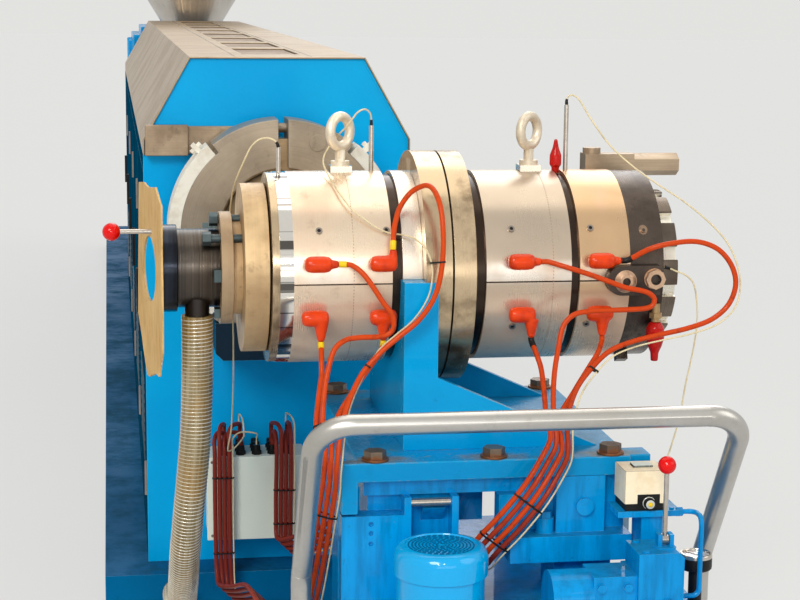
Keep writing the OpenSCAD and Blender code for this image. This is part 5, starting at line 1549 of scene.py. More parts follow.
@dataclass
class Wiring:
    """Leads, probe wires and the air hose, on the routes of the CAD model.

    Each lead keeps its place in a bundle: so many steps aside and down from the bundle's route.
    """

    lead_radius: float = 5.5
    wire_radius: float = 1.8
    hose_radius: float = 33.2
    lead_step: float = 12.0
    wire_step: float = 45.0
    gland_x: float = -63.5
    gland_pitch: float = 40.0
    gland_rows: tuple[int, ...] = (628, 661, 694)
    slots: tuple[int, ...] = (1, 3, 0, 2)
    left_exits: tuple[tuple[Point, Point], ...] = (
        ((38, -224.933, 1037), (1, 0, 0)), ((150, -224.933, 1066), (0, 0, 1)),
        ((4, -213.688, 877), (0, 0, -1)), ((133, -213.688, 877), (0, 0, -1)))
    right_exits: tuple[tuple[Point, Point], ...] = (
        ((460, -224.933, 1037), (1, 0, 0)), ((630, -224.933, 1037), (1, 0, 0)),
        ((445, -213.688, 877), (0, 0, -1)), ((597, -213.688, 877), (0, 0, -1)))
    made: dict[str, Cord] = field(default_factory=dict)

    LEFT_HEADS: ClassVar[list[list[Point]]] = [
        [(50, -226, 1037), (64, -232, 1036), (84, -246, 1022), (104, -254, 996), (126, -258, 962),
         (144, -259, 938), (148, -259, 921), (145, -259, 905), (133, -259, 895), (112, -260, 892),
         (78, -262, 892), (48, -266, 888), (26, -272, 872), (13, -282, 840), (1, -304, 790), (-6, -335, 730)],
        [(150, -225, 1074), (152, -216, 1092), (158, -200, 1118), (172, -180, 1150), (198, -172, 1180),
         (226, -208, 1194), (240, -252, 1164), (244, -278, 1100), (240, -284, 1030), (226, -284, 975),
         (196, -282, 930), (155, -280, 895), (118, -284, 865), (76, -296, 820), (36, -340, 745)],
        [(4, -217, 866), (2, -240, 845), (1, -255, 815), (-7, -280, 780), (-17, -322, 730)],
        [(132, -217, 866), (118, -240, 848), (96, -255, 824), (66, -280, 790), (20, -322, 728)]]
    LEFT_BUNDLE: ClassVar[list[Point]] = [
        (-18, -375, 690), (-18, -355, 640), (-24, -320, 560), (-30, -280, 480), (-40, -235, 380),
        (-50, -170, 290), (-64, -80, 225), (-80, 60, 190), (-95, 220, 180), (-112, 350, 175),
        (-140, 450, 140), (-164, 510, 124), (-168, 538, 126), (-169, 556, 142), (-170, 565, 170),
        (-171, 566, 220), (-172, 566, 330), (-172, 566, 420)]
    RIGHT_HEADS: ClassVar[list[list[Point]]] = [
        [(474, -226, 1037), (508, -244, 1028), (548, -252, 1016), (590, -256, 1001), (634, -258, 985),
         (664, -258, 979), (684, -258, 972), (695, -258, 960), (691, -258, 947), (675, -258, 941),
         (640, -257, 939), (598, -256, 938), (560, -256, 937), (524, -257, 930), (502, -260, 908),
         (490, -272, 868), (474, -304, 812), (464, -345, 750)],
        [(644, -227, 1038), (684, -248, 1064), (730, -258, 1077), (782, -262, 1080), (826, -264, 1064),
         (856, -266, 1030), (866, -268, 990), (852, -268, 948), (818, -268, 918), (768, -268, 900),
         (712, -268, 888), (650, -268, 874), (600, -272, 856), (560, -286, 826), (520, -312, 786),
         (492, -352, 732)],
        [(446, -217, 866), (450, -244, 846), (456, -262, 820), (456, -292, 780), (452, -338, 730)],
        [(596, -217, 866), (580, -246, 846), (556, -264, 818), (520, -292, 776), (478, -338, 728)]]
    RIGHT_BUNDLE: ClassVar[list[Point]] = [
        (452, -376, 700), (432, -388, 664), (398, -396, 612), (352, -392, 552), (312, -372, 500),
        (296, -335, 462), (288, -285, 444), (276, -220, 434), (262, -140, 426), (250, -40, 420),
        (245, 60, 418), (240, 160, 414), (236, 250, 408), (230, 306, 400), (200, 370, 372), (140, 430, 322),
        (70, 480, 268), (10, 516, 238), (-12, 537, 228), (-19, 553, 230), (-20, 563, 244), (-20, 566, 266),
        (-20, 566, 330), (-18, 566, 420)]
    WIRE_HEADS: ClassVar[list[list[Point]]] = [
        [(-64, 0, 1256), (-66, 0, 1264), (-74, 0, 1272), (-88, 0, 1276), (-106, 0, 1272), (-122, 4, 1256),
         (-136, 12, 1226), (-150, 34, 1188), (-158, 80, 1142), (-160, 124, 1080), (-158, 144, 1000),
         (-154, 156, 920), (-150, 176, 820), (-148, 216, 700), (-148, 290, 580), (-150, 380, 500)],
        [(135, 0, 1302), (135, 0, 1314), (131, -9, 1329), (118, -22, 1338), (102, -28, 1332),
         (89, -22, 1314), (78, -11, 1298), (68, 0, 1286), (56, 13, 1270), (45, 17, 1253), (35, 6, 1238),
         (30, -22, 1223), (34, -60, 1206), (43, -100, 1186), (55, -136, 1166), (74, -162, 1141),
         (98, -176, 1122), (122, -186, 1106), (146, -192, 1096), (172, -194, 1092), (194, -204, 1087),
         (205, -230, 1080), (213, -254, 1070), (221, -270, 1048), (224, -273, 1020), (216, -272, 975),
         (188, -271, 930), (150, -270, 897), (116, -274, 868), (84, -283, 820), (48, -318, 746)],
        [(562, 0, 1346), (562, 0, 1357), (566, -1, 1365), (575, -3, 1367), (587, -9, 1358),
         (606, -30, 1322), (640, -80, 1264), (684, -120, 1220), (730, -145, 1186), (782, -160, 1152),
         (830, -180, 1112), (862, -206, 1074), (876, -236, 1034), (878, -262, 990), (864, -277, 944),
         (828, -279, 910), (772, -279, 890), (712, -279, 878), (650, -279, 864), (602, -284, 846),
         (564, -299, 816), (527, -324, 776), (503, -358, 722)],
        [(731, -203, 1019), (742, -205, 1016), (756, -206, 1010), (776, -206, 1002), (794, -206, 985),
         (803, -206, 948), (806, -206, 908), (803, -206, 864), (794, -206, 810), (786, -206, 770),
         (778, -208, 720), (764, -212, 660), (740, -222, 600), (700, -240, 562), (664, -242, 550),
         (640, -242, 544), (630, -242, 532), (629, -242, 518)]]
    HOSE: ClassVar[list[Point]] = [
        (-240, -35, 903.7), (-240, -35, 820), (-242, -36, 730), (-246, -38, 640), (-254, -36, 550),
        (-262, -20, 460), (-268, 20, 370), (-270, 90, 280), (-270, 190, 200), (-270, 310, 140),
        (-270, 430, 96), (-270, 530, 80), (-270, 572, 78), (-270, 611.7, 78)]

    def arch(self, start: Point, gland: int, row: int) -> list[Point]:
        """The last stretch, over the arch and into a gland.

        Args:
            start: the bundle's last point.
            gland: which gland, from the left.
            row: which row of glands, from the front.

        Returns:
            The points.
        """
        gx, gy, rise = self.gland_x + (gland - 2) * self.gland_pitch, self.gland_rows[row], 18 * row
        return [(start[0], 568, 452 + rise), (start[0], 580, 478 + rise),
                ((2 * start[0] + gx) / 3, 604, 490 + rise), (gx, gy - 10, 482 + rise),
                (gx, gy, 468 + rise), (gx, gy, 451)]

    def route(self, head: list[Point], bundle: list[Point], step: float, gland: int,
              row: int) -> list[Point]:
        """A whole route.

        Args:
            head: its points up to the bundle.
            bundle: the bundle's route.
            step: how far from that it runs.
            gland: the gland it ends in.
            row: that gland's row.

        Returns:
            The points.
        """
        moved = [(p[0] + step, p[1], p[2] - step) for p in bundle]
        return head + moved + self.arch(moved[-1], gland, row)

    def leads(self) -> None:
        """Makes the eight leads with their sleeves."""
        groups = (("left", Finishes.LEAD, self.left_exits, self.LEFT_HEADS, self.LEFT_BUNDLE, 0),
                  ("right", Finishes.LEAD_DARK, self.right_exits, self.RIGHT_HEADS, self.RIGHT_BUNDLE, 3))
        for side, finish, exits, heads, bundle, first in groups:
            for k, ((start, out), head, slot) in enumerate(zip(exits, heads, self.slots), 1):
                second = tuple(a + self.lead_radius * b for a, b in zip(start, out))
                points = self.route([start, second] + head, bundle, self.lead_step * slot,
                                    first + slot // 2, slot % 2)
                cord = Cord(f"{side}_lead_{k}", f"{side}_leads", points, self.lead_radius, finish,
                            "lead_orange")
                self.made[cord.name] = cord
                sleeve, pieces = f"{side}_sleeve_{k}", []
                if side == "left":
                    pieces = [cord.sleeve(sleeve, 1.0, 17.0, 0.9, Finishes.MARKER, "guard_yellow")]
                elif k in (2, 3):
                    pieces = [cord.sleeve(sleeve, 1.0, 24.0, 0.9, Finishes.BLACK, "black_plastic")]
                cord.make(pieces)

    def wires(self) -> None:
        """Makes the four probe wires."""
        heads = self.WIRE_HEADS
        routes = [heads[0] + self.arch((-100, 0, 0), 1, 2),
                  self.route(heads[1], self.LEFT_BUNDLE, self.wire_step, 2, 0),
                  self.route(heads[2], self.RIGHT_BUNDLE, self.wire_step, 4, 2), heads[3]]
        for k, points in enumerate(routes, 1):
            cord = Cord(f"probe_wire_{k}", "probe_wires", points, self.wire_radius, Finishes.BRAID,
                        "wire_braid", "limp", 4.0, 10)
            self.made[cord.name] = cord
            cord.make([cord.sleeve(f"probe_cap_{k}", 0.5, 12.0, 1.2, Finishes.BLACK, "black_plastic", 0.8)])

    def hose(self) -> None:
        """Makes the air hose with the wire that winds through its wall."""
        hose = Cord("air_hose_wall", "air_hose", self.HOSE, self.hose_radius, Finishes.HOSE, "hose_clear",
                    "stiff", 6.0, 40)
        hose.make([self.winding(hose, 8.0)])

    def winding(self, hose: Cord, pitch: float) -> bpy.types.Object:
        """The wire that winds round the hose.

        Args:
            hose: the hose.
            pitch: distance between two turns in millimetres.

        Returns:
            The wire.
        """
        turns = hose.length / (pitch * MM)
        count = int(turns * 20)
        bm = bmesh.new()
        rings = []
        side = Vector((1, 0, 0))
        for k in range(count + 1):
            p, forward = hose.spot(hose.length * (0.004 + 0.992 * k / count))
            side = (side - forward * side.dot(forward)).normalized()
            across = forward.cross(side)
            angle = math.tau * turns * k / count
            out = side * math.cos(angle) + across * math.sin(angle)
            middle = p + out * hose.radius * MM
            rings.append([bm.verts.new(middle + out * (MM * a) + forward * (1.5 * MM * b))
                          for a, b in ((-0.9, -1), (0.5, -0.62), (0.8, 0), (0.5, 0.62), (-0.9, 1))])
        skin(bm, rings)
        bm.faces.new(rings[0])
        bm.faces.new(list(reversed(rings[-1])))
        bmesh.ops.recalc_face_normals(bm, faces=bm.faces)
        return settle(close(bm, "hose_wire", degrees=70.0), Finishes.HOSE_WIRE)

    def ties(self) -> None:
        """Puts the black ties where the bundles are held."""
        first_pair, second_pair, whole = (0, 2), (1, 4), range(5)
        places = {("left", 2): ((first_pair, (0, -335, 728)), (second_pair, (90, -288, 838)),
                                (whole, (-10, -320, 540)), (second_pair, (243, -280, 1050)),
                                (whole, (-150, 566, 385)), (whole, (-150, 560, 190))),
                  ("right", 3): ((first_pair, (462, -350, 745)), (second_pair, (560, -290, 822)),
                                 (whole, (385, -394, 586)), (whole, (322, -380, 500)),
                                 (whole, (5, 566, 350)), (whole, (5, 566, 262)))}
        for (side, wire), spots in places.items():
            names = [f"{side}_lead_{k}" for k in (1, 2, 3, 4)] + [f"probe_wire_{wire}"]
            for k, (held, place) in enumerate(spots, 1):
                tie(f"{side}_tie_{k}", [self.made[names[n]] for n in held], place)

    def build(self) -> None:
        """Makes all the cords and what is on them."""
        self.leads()
        self.wires()
        self.hose()
        self.ties()


# ---------------------------------------------------------------- the machine
@dataclass
class DieHead:
    """The heated crosshead die: bodies, bands, boots, eyes and probes."""

    band_radius: float = 205.0
    socket_floor: float = 206.9
    boot_grain: float = 0.0016
    screws: tuple[tuple[float, float], ...] = ((3, 29), (142, 29), (405, 29), (574, 29), (412, -31),
                                               (571, -30))

    def bodies(self) -> None:
        """Bodies, flanges and the pieces at both ends."""
        f = Finishes
        for node, finish, slot, width in (
                ("outlet_ring", f.BLUED, "blued_steel", 2.0), ("outlet_sleeve", f.SLEEVE, "turned_steel", 1.0),
                ("centring_plate", f.TAN_STEEL, "tan_steel", 2.0),
                ("outlet_bolts", f.BOLT_STEEL, "dark_steel", 1.0),
                ("outlet_flange", f.FLANGE_STEEL, "tan_steel", 3.0),
                ("die_body", f.BODY_STEEL, "scaled_steel", 2.5), ("rear_body", f.BODY_STEEL, "scaled_steel", 2.5),
                ("end_housing", f.BLACK_STEEL, "black_steel", 2.5), ("lock_nut", f.NUT_STEEL, "black_steel", 2.0),
                ("inlet_flange", f.RING_STEEL, "machined_steel", 2.0),
                ("chrome_strap", f.CHROME, "chrome_strap", 0.8), ("saddle_cap", f.CAP_STEEL, "bright_steel", 1.0),
                ("band_screws", f.SCREW_STEEL, "dark_steel", 0.4), ("probes", f.POLISHED, "probe_steel", 0.5),
                ("hose_fittings", f.HOSE_COLLAR, "machined_steel", 2.0)):
            rounded(node, finish, width)
        rounded("end_fittings", f.BRASS, 1.0, name="nipple", keep=lambda c: c.z < 0.95)
        rounded("end_fittings", f.BAR_STEEL, 2.5, name="end_bar", keep=lambda c: c.z > 0.95)

    def bands(self) -> None:
        """Heater bands, and the spot welds that run round them."""
        for node in ("upper_bands", "lower_bands"):
            rounded(node, Finishes.BAND_SHEET, 0.9)
        for name, x in (("left", 73.0), ("right", 492.0)):
            ROWS.make("ring", f"spot_welds_{name}", Shape.BAR, Finishes.WELD_STEEL, "band_sheet", count=190,
                      centre=(x, 0, HEAD_MM), radius=self.band_radius, size=(1.5, 3.4, 0.5), first=1.0)

    def sockets(self) -> None:
        """Black hexagons at the floors of the sockets in the band screws: painted shade in the sockets."""
        for k, (x, angle) in enumerate(self.screws):
            up = math.radians(angle)
            place = at(x, -self.socket_floor * math.cos(up), HEAD_MM + self.socket_floor * math.sin(up),
                       turned("X", 90 - angle))
            floor = lathe(f"band_screw_socket_{k + 1}", [(0, 0), (3.9, 0), (3.9, 0.8), (0, 0.8)], place, 6)
            settle(floor, Finishes.BLACK)

    def eyes(self) -> None:
        """Lifting eyes, dull zinc."""
        obj = merged_copy("eye_bolts", "eye_bolts_finish")
        smooth(obj.data, 40.0)
        settle(obj, Finishes.EYE_STEEL, nodes=["eye_bolts"])

    def boots(self) -> None:
        """Silicone boots, softened all over so that necks flow out of the bodies."""
        def bright_orange(middle: Vector) -> bool:
            """Whether a boot is one of the front ones, which kept their orange."""
            return middle.x < 0.66 and middle.z < 1.15

        for name, finish, keep in (("plug_boots_orange", Finishes.BOOT, bright_orange),
                                   ("plug_boots_dark", Finishes.DARK_BOOT, lambda c: not bright_orange(c))):
            obj = merged_copy("plug_boots", name, keep)
            fine = obj.modifiers.new("skin", "REMESH")
            fine.mode, fine.voxel_size, fine.use_smooth_shade = "VOXEL", self.boot_grain, True
            soft = obj.modifiers.new("soft", "SMOOTH")
            soft.factor, soft.iterations = 0.6, 14
            apply_modifiers(obj)
            obj.data.shade_smooth()
            settle(obj, finish, nodes=["plug_boots"])

    def build(self) -> None:
        """Makes the die head."""
        self.bodies()
        self.bands()
        self.sockets()
        self.eyes()
        self.boots()


@dataclass
class Extruder:
    """The extruder: base, cabinet, hood, clamp ring, hopper and drive."""

    hood_y: float = 722.0
    hood_l: float = 4628.0
    hood_top: float = 1419.0
    vent_n: int = 8
    vent_margin: float = 140.0
    doors: int = 5
    side_x: float = 338.5
    hopper_y: float = 5560.0
    gearbox_y: float = 5770.0
    motor_y: float = 6690.0

    def frame_and_cabinet(self) -> None:
        """Painted frame, walls and front panel."""
        f = Finishes
        rounded("base_frame", f.DEEP_BLUE, 4.0)
        rounded("cabinet_walls", f.SHADED_WALL_BLUE, 2.0)
        rounded("front_panel", f.PANEL_BLUE, 1.0)
        rounded("drip_tray", f.DARK_BLUE, 1.0)

    def hood(self) -> None:
        """Stainless hood with its vents and rivets."""
        f = Finishes
        rounded("hood_shell", f.HOOD_SHEET, 1.2)
        rounded("clamp_bar", f.BAR_STEEL, 2.0)
        for name, x in (("left", -105.0), ("right", 88.0)):
            ROWS.make("row", f"hood_rivets_{name}", Shape.DOME, f.SCREW_STEEL, "hood_sheet", count=116,
                      start=(x, self.hood_y + 40, self.hood_top), step=(0, 39.5, 0), size=(5.5, 5.5, 2.4))
        pitch = (self.hood_l - 2 * self.vent_margin) / self.vent_n
        for k in range(self.vent_n):
            y = self.hood_y + self.vent_margin + (k + 0.5) * pitch
            ROWS.make("row", f"vent_slats_{k + 1}", Shape.BAR, f.VENT_STEEL, "hood_sheet", count=24,
                      start=(0, y - 207, self.hood_top - 7), step=(0, 18, 0), size=(149, 17.5, 1.6),
                      turn=(12, 0, 0))

    def clamp(self) -> None:
        """Clamp ring, its heaters and the neck to the die."""
        f = Finishes
        for node in ("clamp_ring_left", "clamp_ring_right"):
            rounded(node, f.RING_STEEL, 2.0)
        rounded("ring_heaters", f.CERAMIC, 1.0)
        rounded("ring_bolts", f.RING_STEEL, 1.0)
        rounded("adapter_neck", f.NECK_STEEL, 1.0)
        rounded("barrel", f.BODY_STEEL, 1.0)

    def junction_box(self) -> None:
        """Grey box with its cover screws and the black glands."""
        f = Finishes
        rounded("junction_box", f.BOX_GREY, 2.5)
        rounded("box_glands", f.BLACK, 0.8)
        ROWS.make("grid", "box_cover_screws", Shape.DISC, f.SCREW_STEEL, "box_paint", across=2, down=2,
                  centre=(-63.5, 589.6, 323), width=229, height=190, size=(7, 7, 1.6), tilt=(90, 0, 0))

    def drive(self) -> None:
        """Hopper, gearbox, motor and guard, finished as such machines are."""
        f = Finishes
        rounded("feed_throat", f.DEEP_BLUE, 4.0)
        rounded("hopper", f.HOPPER_STEEL, 0.8)
        rounded("gearbox", f.CASTING_BLUE, 6.0)
        rounded("drive_motor", f.MOTOR_BLUE, 2.0)
        rounded("coupling_guard", f.YELLOW, 0.8)
        for sign, side in ((-1, "left"), (1, "right")):
            bolts = (("gearbox", 6, 70, 1038, 124, (26, 26, 16)), ("gearbox_foot", 4, 90, 668, 192, (34, 34, 18)))
            for name, count, along, z, pitch, size in bolts:
                ROWS.make("row", f"{name}_bolts_{side}", Shape.HEX, f.BOLT_STEEL, "dark_steel", count=count,
                          start=(sign * 305, self.gearbox_y + along, z), step=(0, pitch, 0), size=size)
            self.cabinet_doors(sign, side)
        # Black discs stand for the holes of the fan cover's grille: painted shade in the holes.
        ROWS.make("grid", "motor_grille", Shape.DISC, f.BLACK, "motor_paint", across=15, down=15,
                  centre=(0, self.motor_y + 780.4, 940), width=300, height=300, size=(13, 13, 1.0),
                  tilt=(90, 0, 0))
        ROWS.make("ring", "hopper_bolts", Shape.HEX, f.BOLT_STEEL, "dark_steel", count=8,
                  centre=(0, self.hopper_y, 1261), radius=140, size=(9, 17, 17), tilt=(0, 90, 0))

    def cabinet_doors(self, sign: int, side: str) -> None:
        """Louvres, hinges and a handle on each door of one side.

        Args:
            sign: -1 for the left side, 1 for the right.
            side: the side's name.
        """
        f = Finishes
        bay = (self.hood_l - 8) / self.doors
        for k in range(self.doors):
            y = self.hood_y + 8 + k * bay
            ROWS.make("row", f"louvres_{side}_{k + 1}", Shape.BAR, f.DARK_BLUE, "deep_blue_paint", count=9,
                      start=(sign * 334, y + bay / 2, 330), step=(0, 0, 26), size=(5, 460, 9),
                      turn=(0, sign * 28, 0))
            ROWS.make("row", f"hinges_{side}_{k + 1}", Shape.DISC, f.SCREW_STEEL, "machined_steel", count=2,
                      start=(sign * self.side_x - sign * 3, y + 62, 330), step=(0, 0, 640), size=(12, 12, 90))
            ROWS.make("row", f"handle_{side}_{k + 1}", Shape.BAR, f.BLACK, "black_plastic", count=1,
                      start=(sign * 340, y + bay - 90, 700), size=(12, 26, 130))

    def build(self) -> None:
        """Makes the extruder."""
        self.frame_and_cabinet()
        self.hood()
        self.clamp()
        self.junction_box()
        self.drive()


@dataclass
class Carriage:
    """The lift carriage with its saddle, rail and hydraulic unit."""

    shelf_z: float = 342.0
    front_y: float = -345.0
    pin_z: float = 561.0
    pump: tuple[float, float] = (217, -450)
    pump_h: float = 168.0
    coil_place: Point = (597, -428, 557)
    gland_place: Point = (645, -427, 573)
    gauge_at: tuple[float, float] = (752, -418)
    lever_pivot: Point = (657, -505, 520)

    def structure(self) -> None:
        """Painted frame, plate, saddle and the bolts and rail on them."""
        f = Finishes
        rounded("carriage_base", f.DEEP_BLUE, 4.0)
        rounded("lift_frame", f.CASTING_BLUE, 2.5)
        rounded("top_plate", f.PLATE_BLUE, 3.0)
        rounded("saddle_post", f.BLUE, 2.5)
        rounded("plate_bolts", f.RUST, 1.6)
        obj = merged_copy("guard_rail", "guard_rail_finish")
        smooth(obj.data, 45.0)
        settle(obj, f.RAIL_STEEL, nodes=["guard_rail"])
        rounded("side_box", f.BOX_GREY, 2.0)
        pin = lathe("lug_pin", [(0, 0), (8.9, 0), (8.9, 82), (0, 82)],
                    at(175, self.front_y + 18, self.pin_z, turned("Y", 90)), 32)
        settle(pin, f.POLISHED)

    def hydraulics(self) -> None:
        """Pump, block, coil, gauge and tube."""
        f = Finishes
        rounded("hydraulic_block", f.CASTING_BLUE, 3.0)
        rounded("gauge_pipe", f.CASTING_BLUE, 0.0)
        for name, place, turn in (("upper", (711, -424, 551), (0, 90, 0)),
                                  ("lower", (690, -469, 388), (0, 90, 0)),
                                  ("foot", (752, -418, 354), (0, 0, 0))):
            ROWS.make("row", f"tube_nut_{name}", Shape.HEX, f.CASTING_BLUE, "pipe_blue", count=1, start=place,
                      size=(30, 30, 14) if name == "foot" else (19, 19, 13), turn=turn)
        for name, start, pitch, size in (("block_caps", (609, -543, 505), 72, (15, 15, 9)),
                                         ("coil_plate_screws", (696, -420, 557), 50, (10, 10, 6))):
            ROWS.make("row", name, Shape.DISC, f.CASTING_BLUE, "blue_paint", count=2, start=start,
                      step=(0, pitch, 0), size=size)
        top = self.pump_h
        cowl = lathe("pump_cowl", [(0, 0), (94, 0), (94, 12), (88, 12), (88, 108), (90, 108), (94, 110),
                                   (94, top - 26), (91.5, top - 13), (86, top - 4.5), (79, top - 0.5),
                                   (72, top), (71, top - 2.5), (0, top - 2.5)],
                     at(*self.pump, self.shelf_z), 64)
        settle(cowl, f.PUMP_BLUE, nodes=["pump_motor"])
        # Darker bars stand for the open slots in the cowl's top: painted shade in the slots.
        for ring in range(9, 68, 7):
            ROWS.make("ring", f"pump_slots_{ring}", Shape.BAR, f.DEEP_BLUE, "blue_paint",
                      count=round(0.52 * ring), centre=(*self.pump, self.shelf_z + top - 2.3), radius=ring,
                      size=(1.4, 8.6, 2.6), first=ring * 17.0, tilt=(0, 90, 0))
        self.coil()
        self.gauge()

    def coil(self) -> None:
        """The solenoid: cream housing, black socket and round gland, in place of one CAD solid."""
        f = Finishes
        rounded("valve_coil", f.BLACK, 2.0, name="coil_socket")
        origin, outlet = at(*self.coil_place), at(*self.gland_place, turned("X", 90))
        housing = prism("coil_housing", [(-2.4, 14), (25, 14), (25, 33), (70, 33), (70, 14), (82.4, 14),
                                         (82.4, 83.4), (-2.4, 83.4)], (-2.4, 77.4), origin, 2.0)
        settle(housing, f.CREAM)
        lid = prism("coil_lid", [(22, 83), (62, 83), (62, 87.4), (22, 87.4)], (24, 52), origin, 1.2)
        settle(lid, f.BOX_GREY)
        plug = lathe("coil_grommet", [(0, 14), (4.6, 14), (4.6, 17), (3.4, 18.4), (0, 18.6)], outlet, 24)
        settle(plug, f.MARKER)
        gland = lathe("coil_gland", [(0, 0), (13, 0), (13, 5), (11.5, 6), (11.5, 13), (9, 15), (5, 15.6),
                                     (0, 15.6)], outlet, 40)
        settle(gland, f.CLEAR)

    def gauge(self) -> None:
        """Pressure gauge: black case, bright ring, dial and needle."""
        f = Finishes
        place = at(*self.gauge_at, self.shelf_z)
        turned_pieces = (
            ("gauge_case", f.BLACK, ["pressure_gauge"],
             [(0, 0), (14, 0), (14, 80), (18, 84), (30, 86), (32.6, 89), (33, 94), (33, 112), (31, 114), (0, 114)]),
            ("gauge_ring", f.POLISHED, [],
             [(27, 113), (33, 111.5), (33.2, 116), (31.6, 119.6), (28.4, 119.8), (27, 117.5), (27, 113)]),
            ("gauge_dial", f.DIAL, [], [(0, 115.2), (27.4, 115.2), (27.4, 114), (0, 114)]))
        for name, finish, nodes, profile in turned_pieces:
            settle(lathe(name, profile, place, 56), finish, nodes=nodes)
        ROWS.make("row", "gauge_needle", Shape.BAR, f.BLACK, "gauge_black", count=1,
                  start=(746, -411, self.shelf_z + 116.2), size=(1.6, 34, 0.8), turn=(0, 0, 38))

    def lever(self) -> None:
        """The valve lever: a bright rod with a red ball; it rides on its own body."""
        f = Finishes
        base = at(*self.lever_pivot)
        rod = lathe("lever_rod", [(0, 5), (5, 5), (5, 134), (4, 140), (0, 140)], base, 32)
        settle(rod, f.POLISHED, "lever", ["valve_lever"])
        knuckle = lathe("lever_knuckle", [(4.25, -6.6), (8.4, -7), (9, -6.4), (9, 6.4), (8.4, 7), (4.25, 6.6),
                                          (4.25, -6.6)], base @ turned("Y", 90), 36)
        settle(knuckle, f.POLISHED, "lever")
        settle(lathe("lever_ball", ball(18, 151), base, 40), f.RED, "lever")

    def build(self) -> None:
        """Makes the carriage."""
        self.structure()
        self.hydraulics()
        self.lever()


@dataclass
class OutletPieces:
    """The fibre board and the rod with its ball at the outlet."""

    tear: float = 24.0
    crumble: float = 3.0
    rod_place: Point = (-417, -22, 1082)

    def torn_board(self) -> bpy.types.Object:
        """Tears the outer edge of the board; the holes in it stay round.

        Returns:
            The board, not yet dressed.
        """
        obj = merged_copy("shield_board", "shield_board_torn")
        bm = bmesh.new()
        bm.from_mesh(obj.data)
        middle = Vector((-0.319, 0.0, HEAD_Z - 0.02))
        rim = [e for e in bm.edges
               if e.calc_length() > 0.03 and all((v.co - middle).length > 0.10 for v in e.verts)]
        bmesh.ops.subdivide_edges(bm, edges=rim, cuts=22)
        for v in bm.verts:
            out = v.co - middle
            out.x = 0.0
            if out.length < 0.11:
                continue
            spot = Vector((0.0, v.co.y, v.co.z))
            depth = self.tear * max(0.0, noise.noise(spot * 8.0) + 0.25)
            depth += self.crumble * noise.noise(spot * 160.0)
            v.co -= out.normalized() * max(0.0, depth) * MM
        bm.to_mesh(obj.data)
        bm.free()
        return obj

    def build(self) -> None:
        """Makes the board, the rod and the ball."""
        f = Finishes
        settle(self.torn_board(), f.BOARD, nodes=["shield_board"])
        place = at(*self.rod_place, turned("Y", 90))
        rod = lathe("outlet_rod_bar", [(0, 12), (5, 12), (5, 98), (0, 98)], place, 28)
        settle(rod, f.POLISHED, nodes=["outlet_rod"])
        settle(lathe("outlet_rod_ball", ball(19, 0), place, 40), f.RED)


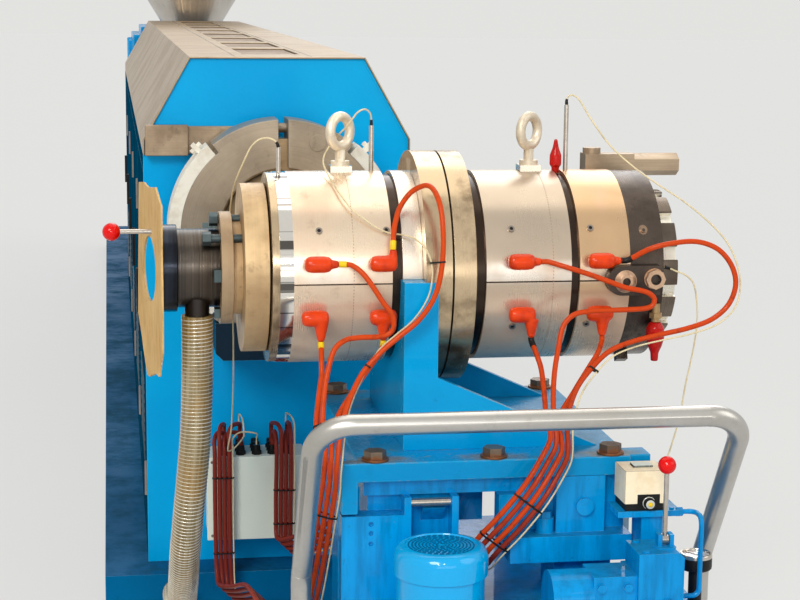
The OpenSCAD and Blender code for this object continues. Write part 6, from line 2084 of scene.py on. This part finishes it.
@dataclass
class Studio:
    """Camera, lamps, world and floor."""

    focal_px: float = 1851.14
    place: Point = (-0.417, -3.9204, 1.5941)
    yaw: float = 0.1563
    pitch: float = 0.1675
    roll: float = 0.0098

    def camera(self) -> None:
        """A camera where the photograph was taken from."""
        sy, cy, sp, cp = math.sin(self.yaw), math.cos(self.yaw), math.sin(self.pitch), math.cos(self.pitch)
        forward, right = Vector((sy * cp, cy * cp, -sp)), Vector((cy, -sy, 0))
        up = right.cross(forward)
        cr, sr = math.cos(self.roll), math.sin(self.roll)
        right, up = cr * right + sr * up, cr * up - sr * right
        data = bpy.data.cameras.new("photo_camera")
        data.sensor_width, data.lens = SENSOR_MM, self.focal_px * SENSOR_MM / PICTURE_PX
        data.clip_end = 60.0
        obj = link("photo_camera", data)
        turn = Matrix((right, up, -forward)).transposed()
        obj.matrix_world = Matrix.Translation(self.place) @ turn.to_4x4()
        bpy.context.scene.camera = obj

    def lamp(self, name: str, place: Point, aim: Point, size: tuple[float, float], watts: float,
             colour: Colour = (1.0, 1.0, 1.0)) -> None:
        """A soft rectangular lamp.

        Args:
            name: its name.
            place: where it is, in metres.
            aim: what it points at.
            size: its width and height.
            watts: its power.
            colour: its colour.
        """
        data = bpy.data.lights.new(name, "AREA")
        data.shape, data.energy, data.color = "RECTANGLE", watts, colour
        data.size, data.size_y = size
        turn = (Vector(aim) - Vector(place)).to_track_quat("-Z", "Y").to_matrix().to_4x4()
        link(name, data).matrix_world = Matrix.Translation(place) @ turn

    def sun(self, name: str, towards: Point, strength: float, spread: float, colour: Colour) -> None:
        """A soft sun.

        Args:
            name: its name.
            towards: the direction from the object to it.
            strength: watts per square metre.
            spread: its width in degrees.
            colour: its colour.
        """
        data = bpy.data.lights.new(name, "SUN")
        data.energy, data.angle, data.color = strength, math.radians(spread), colour
        link(name, data).matrix_world = Vector(towards).to_track_quat("Z", "Y").to_matrix().to_4x4()

    def world(self) -> None:
        """A plain pale surround: brighter to the camera than on the object."""
        world = bpy.data.worlds.new("studio")
        bpy.context.scene.world = world
        world.use_nodes = True
        nodes, links = world.node_tree.nodes, world.node_tree.links
        nodes.clear()
        path = nodes.new("ShaderNodeLightPath")
        mix = nodes.new("ShaderNodeMixShader")
        out = nodes.new("ShaderNodeOutputWorld")
        for k, (colour, strength) in enumerate((((0.90, 0.92, 0.96), 0.36), ((0.90, 0.90, 0.89), 0.97))):
            back = nodes.new("ShaderNodeBackground")
            back.inputs[0].default_value = linear(colour)
            back.inputs[1].default_value = strength
            links.new(back.outputs[0], mix.inputs[k + 1])
        shown = path.outputs["Is Camera Ray"]
        for ray in RAYS[1:]:
            either = nodes.new("ShaderNodeMath")
            either.operation = "MAXIMUM"
            links.new(shown, either.inputs[0])
            links.new(path.outputs[f"Is {ray} Ray"], either.inputs[1])
            shown = either.outputs[0]
        links.new(shown, mix.inputs[0])
        links.new(mix.outputs[0], out.inputs[0])

    def floor(self) -> None:
        """A wide pale floor at the object's foot."""
        bm = bmesh.new()
        corners = ((-150, -150), (150, -150), (150, 150), (-150, 150))
        bm.faces.new([bm.verts.new((x, y, -0.0005)) for x, y in corners])
        floor = close(bm, "floor", None)
        floor.data.materials.append(Finishes.FLOOR.material())

    def build(self) -> None:
        """Sets the scene's view and light."""
        bpy.context.scene.view_settings.view_transform = "Standard"
        self.camera()
        self.world()
        self.floor()
        self.sun("key_sun", (-0.42, -0.80, 0.62), 1.75, 24, (1.0, 0.96, 0.90))
        self.sun("fill_sun", (0.80, -0.35, 0.50), 0.6, 40, (1.0, 0.98, 0.95))
        self.sun("back_sun", (0.25, 0.80, 0.60), 0.9, 40, (0.97, 0.98, 1.0))
        self.lamp("left_flash", (-0.75, -3.7, 2.0), (0.2, 0.0, 0.8), (0.22, 0.22), 9)
        self.lamp("right_flash", (0.15, -3.7, 1.95), (0.2, 0.0, 0.8), (0.22, 0.22), 9)
        self.lamp("front", (0.4, -4.6, 1.2), (0.2, 0.0, 0.9), (3.6, 0.8), 14, (1.0, 0.97, 0.93))
        self.lamp("top", (0.3, 0.6, 3.6), (0.2, 0.6, 1.0), (2.4, 3.0), 26, (1.0, 0.94, 0.85))


def write_sizes() -> None:
    """Brings the view layer up to date."""
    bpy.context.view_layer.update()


def main() -> None:
    """Builds the scene: camera and cords first, then the machine."""
    logging.basicConfig(level=logging.INFO, format="%(message)s")
    Studio().build()
    for part in (Wiring(), DieHead(), Extruder(), Carriage(), OutletPieces()):
        LOG.info("%s", type(part).__name__)
        part.build()
    write_sizes()


if __name__ == "__main__":
    main()
